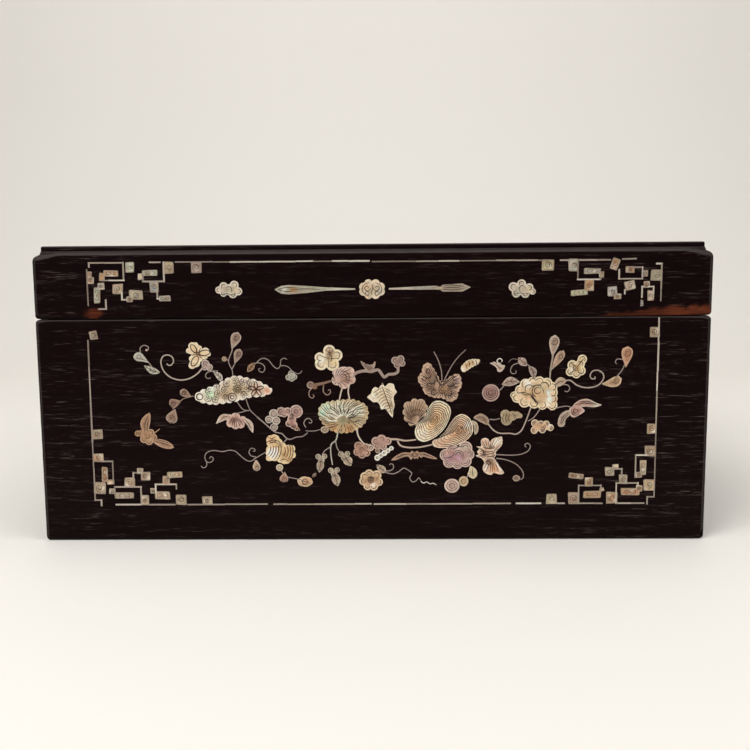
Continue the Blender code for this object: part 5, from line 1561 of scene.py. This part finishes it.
def draw_insects():
    """The two butterflies and the bat."""
    large = Inlay("inlay_butterfly_large")
    wings = [(33.1, 76.9), (31.9, 79.1), (30.7, 81.6), (29.0, 84.6), (27.3, 87.0), (26.1, 87.2),
             (24.3, 84.6), (24.4, 82.0), (22.5, 80.8), (22.1, 79.1), (23.0, 77.2), (24.6, 75.8),
             (24.5, 73.8), (25.8, 72.0), (28.0, 71.0), (30.7, 70.3), (32.6, 70.5), (34.0, 70.4),
             (35.5, 69.4), (37.5, 68.2), (39.5, 69.1), (41.2, 71.0), (40.4, 73.3), (42.0, 74.4),
             (42.9, 76.6), (42.1, 79.3), (42.1, 81.3), (41.0, 81.7), (38.2, 80.5), (35.9, 79.0),
             (34.5, 77.1)]
    edge = list(scallop(wings, 2.3, 0.5))
    large.plate(edge, "8f6b54", "cfae94",
                [(27.4, 82.4, 2.4, "a98069"), (24.4, 78.8, 1.8, "c9a58a"), (35.0, 73.4, 2.6, "a5805c"),
                 (39.6, 72.0, 2.0, "b08a78"), (40.8, 78.4, 2.0, "c2a0a0"), (28.8, 75.0, 2.4, "a9836b"),
                 (33.6, 74.4, 1.2, "c08a52")])
    large.lines(rays((33.6, 74.2), edge, 43, 0.30, 0.90, 0.05), 1.0)
    large.lines([arc(x, z, 1.5, 200, 400, 0.8)
                 for x, z in ((26.6, 80.8), (28.6, 78.0), (37.4, 76.8), (36.6, 72.4))], 1.6)
    large.lines([arc(33.7, 74.4, radius, 20, 340, 1.3) for radius in (0.8, 1.7)], 1.3)
    large.lines([arc(x, z, 1.0, 40, 330) for x, z in ((27.0, 83.0), (25.0, 79.4), (27.4, 76.4), (39.6, 79.4),
                                                      (40.2, 76.0), (38.8, 71.2), (29.4, 72.6))], 1.3)
    large.painted_glints([arc(x, z, 0.5, 0, 200) for x, z in ((26.6, 84.6), (23.8, 79.8), (41.2, 79.8),
                                                      (39.2, 69.8))], 0.5,
                 "e9cdb4")
    large.stem((33.5, 78.2), (33.2, 83.0), (31.8, 88.0), (29.6, 92.4), wide=0.75, thin=0.6, tone=FEELER)
    large.stem((34.4, 78.2), (37.5, 84.5), (41.0, 89.5), (44.8, 93.2), wide=0.7, thin=0.5, tone=FEELER)
    edge = list(scallop([(42.6, 84.9), (44.5, 87.0), (46, 88.2), (49, 88.6), (51.6, 88.2), (50.6, 86.2),
                         (48.0, 85.2), (45.6, 83.5), (43.9, 82.4), (42.8, 83.2)], 1.5, 0.3))
    large.plate(edge, "d6a36c", "f2dcb8", [(49.8, 87.4, 1.2, PAINTED_HIGHLIGHT), (43.6, 84, 1.2, PAINTED_HIGHLIGHT)])
    large.lines([[(x, z), (x + 0.7, z - 1.2), (x + 0.6, z - 2.6)] for x, z in
                 ((44.6, 86.6), (46.0, 87.8), (47.6, 88.2), (49.2, 88.4))], 1.2)
    large.finish("nacre_tan", "butterfly_large")

    small = Inlay("inlay_butterfly_small")
    edge = [(52.2, 48.6), (52.6, 49.9), (54.2, 50.5), (55.8, 49.9), (56.6, 48.3), (57.4, 49.6), (58.8, 50.5),
            (60.6, 50.8), (62.3, 51.0), (62.5, 47.6), (61.2, 45.6), (59.4, 43.6), (59.5, 41.9), (58.8, 40.8),
            (59.9, 38.9), (61.2, 37.2), (62.4, 35.0), (63.5, 33.3), (62.0, 32.5), (60.0, 32.9), (58.2, 33.3),
            (57.6, 32.3), (55.4, 32.7), (53.8, 33.8), (53.1, 35.8), (53.9, 38.2), (52.9, 40.2), (51.4, 41.0),
            (49.6, 41.8), (51.2, 42.4), (50.4, 43.8), (51.6, 45.2), (50.0, 46.4), (52.4, 46.4)]
    edge = smooth(edge, 2)
    small.plate(edge, "d6a886", "f0d8be", [(60.8, 48.6, 2.0, "d8cdb0"), (54.2, 48.2, 2.2, "dcae90"),
                                           (58.8, 35.4, 3.0, "e2a274"), (54.6, 35.4, 1.6, "f2e0cc"),
                                           (56.6, 43.2, 2.0, "e8c6a8"), (56.8, 38.4, 1.8, "8f6238"),
                                           (57.2, 46.0, 1.0, "7c5836")])
    small.lines(rays((56.8, 42.6), edge, 33, 0.36, 0.90, 0.04), 0.85)
    small.lines([[(54.6, 41.8), (57.0, 41.2), (59.2, 42.0)], [(52.6, 44.4), (55.4, 43.6), (58.6, 44.0)],
                 [(54.2, 39.0), (56.4, 39.8), (58.8, 39.6)], [(52.0, 42.6), (55.0, 42.4), (58.6, 43.0)],
                 [(53.4, 46.0), (56.0, 45.2), (58.8, 45.6)], arc(53.8, 43.5, 0.5),
                 arc(56.0, 38.3, 0.8)], 1.3)
    small.painted_glints([[(61.6, 49.8), (60.2, 48.2), (58.8, 46.4)], [(60.0, 50.2), (59.0, 48.6), (58.0, 46.8)],
                  [(54.4, 34.6), (55.0, 36.4), (55.6, 38.0)], [(62.2, 34.2), (60.8, 36.4), (59.8, 38.4)]],
                 0.55)
    small.stem((59.4, 42.4), (62.0, 42.2), (67.6, 42.0), (72.0, 42.6), (75.0, 44.2), (75.9, 46.6),
               (74.4, 47.8), (73.2, 46.8), (74.0, 45.9), wide=0.7, thin=0.6, tone=FEELER)
    small.stem((59.6, 40.5), (63.6, 39.9), (67.4, 38.6), (70.6, 36.4), (72.6, 33.4), (72.6, 30.8),
               (71.4, 30.0), wide=0.7, thin=0.6, tone=FEELER)
    small.ball(69.4, 30.6, 3.6, "a48a74", "c2aa94", (0.6, 0.25), 3.0)
    small.finish("nacre_beige", "butterfly_small")

    bat = Inlay("inlay_bat")
    edge = [(9.1, 39.6), (10.1, 40.9), (12.0, 42.3), (14.4, 43.4), (16.4, 43.6), (18.2, 43.4), (19.0, 44.3),
            (20.4, 43.6), (21.7, 44.3), (22.4, 43.5), (24.7, 43.6), (27.1, 42.7), (29.1, 41.8), (31.3, 40.3),
            (29.1, 40.3), (26.7, 40.9), (24.5, 41.5), (23.5, 40.8), (22.6, 41.7), (21.8, 40.2), (21.0, 41.0),
            (20.4, 40.2), (19.6, 41.1), (18.6, 39.9), (17.6, 41.3), (16.4, 41.6), (14.0, 40.9), (11.6, 39.9)]
    bat.plate(smooth(edge, 2), "8c6a54", "c09c82", [(20.4, 42.4, 1.6, "a88468")])
    bat.lines([[(11, 40.7), (14.6, 42.4), (18.4, 42.8)], [(29.4, 41.0), (25.4, 42.6), (22.4, 42.8)],
               [(13.0, 41.0), (15.0, 42.6)], [(27.0, 41.4), (25.0, 42.6)], arc(20.4, 42.4, 0.9, 0, 330),
               [(19.2, 43.2), (19.0, 42.0), (19.4, 41.2)], [(21.6, 43.2), (21.8, 42.0), (21.4, 41.2)]], 1.1)
    bat.finish("nacre_tan", "bat")


# Right sprays

def draw_right_sprays():
    """The peony, the blossom, the leaf spray and the scroll at the right."""
    peony = Inlay("inlay_peony_right")
    discs = [(73.3, 76.4, 2.7), (70.8, 73.6, 2.5), (69.2, 69.9, 2.3), (67.8, 71.2, 1.7), (72.9, 68.0, 2.8),
             (77.5, 67.4, 2.7), (81.4, 66.4, 2.3), (86.0, 66.4, 2.6), (86.2, 69.4, 2.4), (86.0, 72.4, 2.6),
             (86.0, 75.0, 2.4), (83.4, 76.9, 2.6), (79.8, 77.7, 2.5), (76.6, 77.7, 2.3), (78.4, 72.4, 5.4)]
    # The pale cyan spots at the right are painted highlights
    peony.heap(discs, "d8b68a", "f6e0bc",
               [(84.8, 69.4, 1.8, "eefcf6"), (74.4, 76.4, 2.4, PAINTED_HIGHLIGHT), (71.0, 69.4, 2.2, "e9cda9"),
                (80.0, 68.2, 2.4, "c9a986"), (87.8, 68.6, 1.4, "d8a183"), (80.6, 74.6, 2.4, "dccaa6"),
                (76.4, 71.0, 1.4, "805c3c"), (84.2, 72.6, 1.4, "d5ece6")], (0.66,), 1.0, 190)
    peony.lines([[(75.2, 72.0), (76.6, 69.8), (78.9, 66.6)], [(71.0, 72.4), (73.6, 71.2), (75.8, 71.8)],
                 arc(79.0, 73.4, 1.5, 20, 340), arc(79.4, 73.2, 3.0, 60, 250), arc(75.0, 74.2, 2.0, 30, 220),
                 arc(82.2, 75.4, 2.0, -20, 160), [(69.4, 72.2), (72.6, 72.6), (75.2, 71.6)]], 1.3)
    peony.lines([[(76.4, 71.2), (77.4, 69.2), (79.4, 67.2)]], 2.6)
    peony.painted_glints([[(83.8, 72.6), (84.2, 71.2), (85.4, 70.6)], [(84.0, 70.0), (84.4, 68.4), (85.8, 67.6)],
                  [(83.4, 67.8), (84.0, 66.6), (85.4, 66.0)], [(72.2, 77.6), (73.8, 78.2), (75.2, 77.4)]],
                 0.8)
    peony.finish("nacre_cream", "peony_right")

    blossom = Inlay("inlay_blossom_right")
    blossom.heap([(100.0, 88.3, 2.2), (95.3, 85.6, 2.3), (94.5, 82.4, 2.2), (97.3, 81.4, 2.2),
                  (99.5, 82.8, 2.2), (99.0, 86.0, 2.2), (97.0, 84.2, 2.2)], "cfae7c", "f4e4c0",
                 [(97.4, 84.4, 1.4, "8f6a3c"), (99.6, 88.6, 1.4, "e9d3a0"),
                  (95.2, 83.2, 1.4, PAINTED_HIGHLIGHT)], (0.6,), 1.1)
    blossom.lines([[(97.6, 84.6), (99.0, 86.6), (100.6, 88.6)], [(97.0, 84.8), (95.6, 86.0), (94.4, 86.6)],
                   [(96.8, 83.8), (95.4, 82.4), (94.0, 81.4)], [(97.6, 83.6), (98.4, 82.0), (99.6, 81.2)]],
                  1.3)
    blossom.finish("nacre_cream", "blossom_right")

    cluster = Inlay("inlay_cluster_right")
    cluster.heap([(78.0, 57.6, 1.8), (80.8, 57.2, 1.6), (83.4, 57.2, 1.6), (85.3, 55.4, 1.7),
                  (77.8, 54.2, 1.8), (81.6, 54.4, 1.7), (81.5, 55.8, 2.4)], "cc9c76", "efd6b6",
                 [(79, 56, 1.4, "dcae84"), (85, 56.4, 1.2, PAINTED_HIGHLIGHT)], (0.6, 0.25))
    cluster.finish("nacre_beige", "cluster_right")

    spray = Inlay("inlay_leaf_spray_right")
    spray.plate(smooth([(96.0, 66.0), (99.0, 68.6), (103.0, 69.2), (107.0, 67.3), (109.7, 66.3),
                        (106.0, 65.2), (102.0, 65.6), (98.6, 65.0)], 3), "a98474", "dcc4b2",
                [(107, 66.6, 1.6, "e2e4c8")])
    spray.plate(smooth([(94.7, 63.9), (91.0, 62.7), (89.1, 59.6), (89.2, 56.1), (92.0, 56.2), (92.7, 59.5),
                        (95.0, 61.8)], 3), "a18472", "ccb8a6")
    spray.plate(smooth([(94.4, 64.6), (94.8, 61.4), (96.6, 60.3), (99.2, 61.6), (101.6, 63.4), (99.8, 65.2),
                        (96.8, 66.0)], 3), "b08070", "d9bcae")
    spray.lines([[(96.8, 66.4), (101, 67.4), (107, 66.6)], [(90.2, 57.4), (90.8, 60), (93.6, 62.8)],
                 [(95.8, 61.6), (96.2, 63.8)], [(98.8, 62.4), (98.4, 64.4)], arc(97.2, 63.4, 1.0),
                 arc(97.2, 63.4, 2.0, 150, 330),
                 [(99.0, 68.0), (103.0, 68.2), (107.4, 66.6)], [(90.8, 57.0), (91.8, 59.6), (94.0, 62.0)]],
                1.1)
    spray.stem((87.6, 64.8), (90.0, 65.4), (93.0, 65.8), (95.8, 65.0), wide=0.8)
    spray.finish("nacre_pink", "leaf_spray_right")

    scroll = Inlay("inlay_scroll_right")
    scroll.stem((92.0, 78.0), (94.5, 78.2), (97.5, 76.0), (101.0, 74.8), (104.5, 74.8), (108.0, 76.0),
                (110.2, 79.0), (109.8, 81.5), (107.5, 83.0), (105.0, 82.6), (103.8, 80.5), (104.6, 79.0),
                (106.2, 79.0), (106.0, 80.0), wide=1.0, thin=0.75, tone="b8a69a")
    scroll.finish("nacre_silver", "scroll_right")


def draw_right_small():
    """The buds, curls and leaves at the right, which are too small for the solid model."""
    upper = Inlay("inlay_right_upper_buds")
    upper.stem((84.8, 79.0), (85.0, 83.5), (85.9, 89.0), (86.2, 92.6), wide=0.9, thin=1.3, tone="b3a08f")
    upper.bud((85.8, 89.5), (87.0, 100.0), 4.9, "a98e7a", "d2beac")
    upper.bud((85.4, 83.2), (91.2, 92.6), 3.9, "ab8a70", "cfb29a")
    upper.stem((85.3, 83.0), (86.0, 84.6), (87.0, 86.4), wide=0.8)
    upper.plate(smooth([(86.6, 75.6), (87.8, 78.5), (90, 79.8), (92.5, 78.2), (91.2, 76.2), (88.6, 75.2)],
                       3),
                "b49a84", "d2bba2")
    upper.line([(87.4, 76.2), (89.2, 77.6), (91.4, 77.8)])
    upper.stem((91.0, 76.2), (93.3, 76.0), (94.3, 74.3), (93.2, 72.8), (91.8, 73.2), wide=0.75)
    upper.finish("nacre_beige")

    side = Inlay("inlay_right_side_spray")
    side.bud((109.3, 76.4), (118.9, 79.0), 4.9, "b08a68", "d8bb98", belly=0.55, point=0.5, bend=-0.8)
    side.stem((115.4, 78.6), (118.5, 82.5), (119.8, 85.0), (120.8, 88.4), wide=0.75)
    side.bud((120.6, 84.2), (121.3, 94.4), 5.4, "b58463", "d8b091", belly=0.5, point=0.5)
    side.stem((119.6, 88.0), (116.5, 88.3), (115.6, 86.8), (116.4, 86.0), wide=0.65)
    side.finish("nacre_pink")

    top = Inlay("inlay_right_top_tendril")
    top.plate(smooth([(56.2, 86.6), (58.0, 85.6), (59.6, 84.2), (59.8, 82.8), (61.4, 82.4), (62.8, 83.8),
                      (63.4, 85.6), (61.8, 85.8), (61.0, 87.0), (59.8, 86.4), (58.6, 87.4), (57.2, 87.0)],
                     2), "b99c88", "dcc6b4")
    top.stem((60.4, 86.2), (59.6, 87.8), (60.8, 88.9), (62.0, 88.2), (61.8, 87.2), wide=0.9, tone="efe6d8")
    top.line([(58.8, 86.2), (60.6, 84.4), (61.8, 84.0)])
    top.leaf((74.6, 85.4), (77.4, 79.0), 3.4, "a48c82", "c9b3a6", bend=0.9)
    top.leaf((74.0, 85.2), (69.6, 89.2), 3.8, "a98f80", "cdb8a8", pairs=2, belly=0.9)
    top.stem((76.0, 84.5), (73.0, 86.5), (70.0, 86.7), (67.0, 85.5), (66.0, 83.0), (67.0, 81.6),
             (68.6, 81.9), (68.6, 83.2), wide=0.7)
    top.stem((70.5, 88.0), (67.0, 88.7), (65.0, 87.0), wide=0.45, thin=0.35, tone="8d7d74")
    top.stem((76.4, 80.6), (77.4, 79.4), (79.0, 78.6), wide=0.7)
    top.finish("nacre_tan")


# Operators

class BOX_OT_body(bpy.types.Operator):
    """Builds the four worn body walls and finishes the bottom board"""

    bl_idname = "inlaid_box.body"
    bl_label = "Body boards"

    def execute(self, context):
        looks = context.scene.box_wood
        make_boards("body", lambda x, half: body_profile(seam_round(x, half), looks.foot_round), sound_wood,
                    looks.chip)
        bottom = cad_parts["body_bottom"]
        bottom.data.materials.clear()
        bottom.data.materials.append(waxed_hardwood())
        return {"FINISHED"}


class BOX_OT_lid(bpy.types.Operator):
    """Builds the four worn lid rails and the lid's board"""

    bl_idname = "inlaid_box.lid"
    bl_label = "Lid boards"

    def execute(self, context):
        make_boards("lid", lambda x, half: lid_profile(seam_round(x, half), *lid_arris(x, half)),
                    lid_flakes, 0.0)
        field_board()
        return {"FINISHED"}


class BOX_OT_borders(bpy.types.Operator):
    """Lays the border strips and the fret tiles at the corners of the front"""

    bl_idname = "inlaid_box.borders"
    bl_label = "Fret borders"

    def execute(self, context):
        make_borders(BODY_FRETS)
        make_borders(LID_FRETS)
        return {"FINISHED"}


class BOX_OT_hidden_borders(bpy.types.Operator):
    """Lays a plain border on the back, the ends and the top"""

    bl_idname = "inlaid_box.hidden_borders"
    bl_label = "Plain borders"

    def execute(self, context):
        margin = BORDER_INSET / MM * BODY_TOP / (2 * HALF_DEPTH)
        for side in ("back", "left", "right"):
            half = HALF_LENGTH if side == "back" else HALF_DEPTH
            plain_frame(f"inlay_border_{side}", f"border_{side}", face_place(side),
                        (half - BORDER_INSET) / MM, margin, BODY_TOP / MM - margin)
        reach = (HALF_DEPTH - BORDER_INSET) / MM
        plain_frame("inlay_border_top", "border_top", Matrix.Translation((0, 0, FIELD_TOP)),
                    (HALF_LENGTH - BORDER_INSET) / MM, -reach, reach)
        return {"FINISHED"}


class BOX_OT_lid_picture(bpy.types.Operator):
    """Lays the lid's clouds, pointed bars and medallion"""

    bl_idname = "inlaid_box.lid_picture"
    bl_label = "Lid picture"

    def execute(self, context):
        draw_lid()
        return {"FINISHED"}


class BOX_OT_left_sprays(bpy.types.Operator):
    """Lays the flowers, buds and swallowtail at the left of the front"""

    bl_idname = "inlaid_box.left_sprays"
    bl_label = "Left sprays"

    def execute(self, context):
        draw_left_sprays()
        draw_left_small()
        return {"FINISHED"}


class BOX_OT_centre_sprays(bpy.types.Operator):
    """Lays the chrysanthemum, blossoms and leaves in the middle of the front"""

    bl_idname = "inlaid_box.centre_sprays"
    bl_label = "Centre sprays"

    def execute(self, context):
        draw_centre()
        draw_centre_small()
        return {"FINISHED"}


class BOX_OT_fruit(bpy.types.Operator):
    """Lays the two melons, the butterflies and the bat"""

    bl_idname = "inlaid_box.fruit"
    bl_label = "Melons, butterflies and bat"

    def execute(self, context):
        draw_fruit()
        draw_insects()
        return {"FINISHED"}


class BOX_OT_right_sprays(bpy.types.Operator):
    """Lays the peony, blossoms and scrolls at the right of the front"""

    bl_idname = "inlaid_box.right_sprays"
    bl_label = "Right sprays"

    def execute(self, context):
        draw_right_sprays()
        draw_right_small()
        return {"FINISHED"}


class BOX_OT_stage(bpy.types.Operator):
    """Sets the pale floor, the backdrop, the soft lights and the camera"""

    bl_idname = "inlaid_box.stage"
    bl_label = "Studio and camera"

    def execute(self, context):
        looks = context.scene.box_stage
        floor_sweep(looks)
        box_middle, backdrop_foot = (0, 0, 0.07), (0, 0.9, 0.35)
        soft_light("key_light", looks.key, 0.9, (-0.55, -0.75, 0.95), box_middle)
        soft_light("fill_light", looks.fill, 1.1, (0.85, -0.55, 0.75), box_middle)
        soft_light("backdrop_light", looks.backdrop, 1.2, (0, 0.15, 1.25), backdrop_foot)
        world = bpy.data.worlds.new("even_light")
        world.use_nodes = True
        background = world.node_tree.nodes["Background"]
        background.inputs["Color"].default_value = solid_colour(linear(DAYLIGHT))
        ways = add_node(world.node_tree, "TexCoord").outputs["Generated"]
        depth = add_node(world.node_tree, "SeparateXYZ", links={"Vector": ways}).outputs["Y"]
        in_front = looks.sky * 0.35
        even = ranged(world.node_tree, depth, -0.9, 0.4, in_front, looks.sky)
        world.node_tree.links.new(even, background.inputs["Strength"])
        context.scene.world = world
        context.scene.view_settings.view_transform = "Standard"
        camera = bpy.data.cameras.new("view_camera")
        camera.lens = looks.lens
        camera.sensor_width = 36.0
        camera.shift_y = looks.shift
        seen = bpy.data.objects.new("view_camera", camera)
        context.scene.collection.objects.link(seen)
        pitch, yaw, roll = looks.aim
        turn = (Matrix.Rotation(-yaw, 4, "Z") @ Matrix.Rotation(math.radians(90) - pitch, 4, "X")
                @ Matrix.Rotation(roll, 4, "Z"))
        seen.matrix_world = Matrix.Translation(looks.eye) @ turn
        context.scene.camera = seen
        return {"FINISHED"}


def floor_sweep(looks):
    """A floor that curves up into a backdrop, far behind the box."""
    front, back, rise, curve, half_width = -0.34, 0.9, 1.6, 0.45, 2.2
    profile = [(front, 0.0), (back - curve, 0.0)]
    profile += [(back - curve + curve * math.sin(math.radians(angle)),
                 curve - curve * math.cos(math.radians(angle))) for angle in range(10, 91, 10)]
    profile.append((back, rise))
    verts = [(side * half_width, y, z) for y, z in profile for side in (-1, 1)]
    faces = [(2 * here, 2 * here + 1, 2 * here + 3, 2 * here + 2) for here in range(len(profile) - 1)]
    mesh = bpy.data.meshes.new("studio_sweep")
    mesh.from_pydata(verts, [], faces)
    mesh.shade_smooth()
    floor = bpy.data.objects.new("studio_sweep", mesh)
    bpy.context.scene.collection.objects.link(floor)
    made, _, shader = new_material("painted_studio_paper")
    shader.inputs["Base Color"].default_value = solid_colour(looks.floor)
    shader.inputs["Roughness"].default_value = 0.75
    mesh.materials.append(made)


def soft_light(name, power, size, place, aim):
    """A round area light, turned to what it lights."""
    lamp = bpy.data.lights.new(name, "AREA")
    lamp.energy = power
    lamp.shape = "DISK"
    lamp.size = size
    made = bpy.data.objects.new(name, lamp)
    made.location = place
    made.rotation_euler = (Vector(aim) - Vector(place)).to_track_quat("-Z", "Y").to_euler()
    bpy.context.scene.collection.objects.link(made)


class BOX_PT_panel(bpy.types.Panel):
    """Lists the steps that build the box"""

    bl_idname = "BOX_PT_panel"
    bl_label = "Inlaid Box"
    bl_space_type = "VIEW_3D"
    bl_region_type = "UI"
    bl_category = "Inlaid Box"

    def draw(self, context):
        for group in (context.scene.box_wood, context.scene.box_nacre, context.scene.box_stage):
            column = self.layout.box().column()
            for name in group.__annotations__:
                column.prop(group, name)
        for step in STEPS:
            self.layout.operator(step.bl_idname)


GROUPS = {"box_wood": BoxWoodProperties, "box_nacre": BoxNacreProperties, "box_stage": BoxStageProperties}
STEPS = (BOX_OT_body, BOX_OT_lid, BOX_OT_borders, BOX_OT_hidden_borders, BOX_OT_lid_picture,
         BOX_OT_left_sprays, BOX_OT_centre_sprays, BOX_OT_fruit, BOX_OT_right_sprays, BOX_OT_stage)


def register():
    for name, group in GROUPS.items():
        bpy.utils.register_class(group)
        setattr(bpy.types.Scene, name, PointerProperty(type=group))
    for step in (*STEPS, BOX_PT_panel):
        bpy.utils.register_class(step)


def unregister():
    for step in reversed((*STEPS, BOX_PT_panel)):
        bpy.utils.unregister_class(step)
    for name, group in GROUPS.items():
        delattr(bpy.types.Scene, name)
        bpy.utils.unregister_class(group)


def main():
    """Registers the add-on and runs its steps in order."""
    register()
    bpy.ops.inlaid_box.body()
    bpy.ops.inlaid_box.lid()
    bpy.ops.inlaid_box.borders()
    bpy.ops.inlaid_box.hidden_borders()
    bpy.ops.inlaid_box.lid_picture()
    bpy.ops.inlaid_box.left_sprays()
    bpy.ops.inlaid_box.centre_sprays()
    bpy.ops.inlaid_box.fruit()
    bpy.ops.inlaid_box.right_sprays()
    bpy.ops.inlaid_box.stage()


if __name__ == "__main__":
    main()
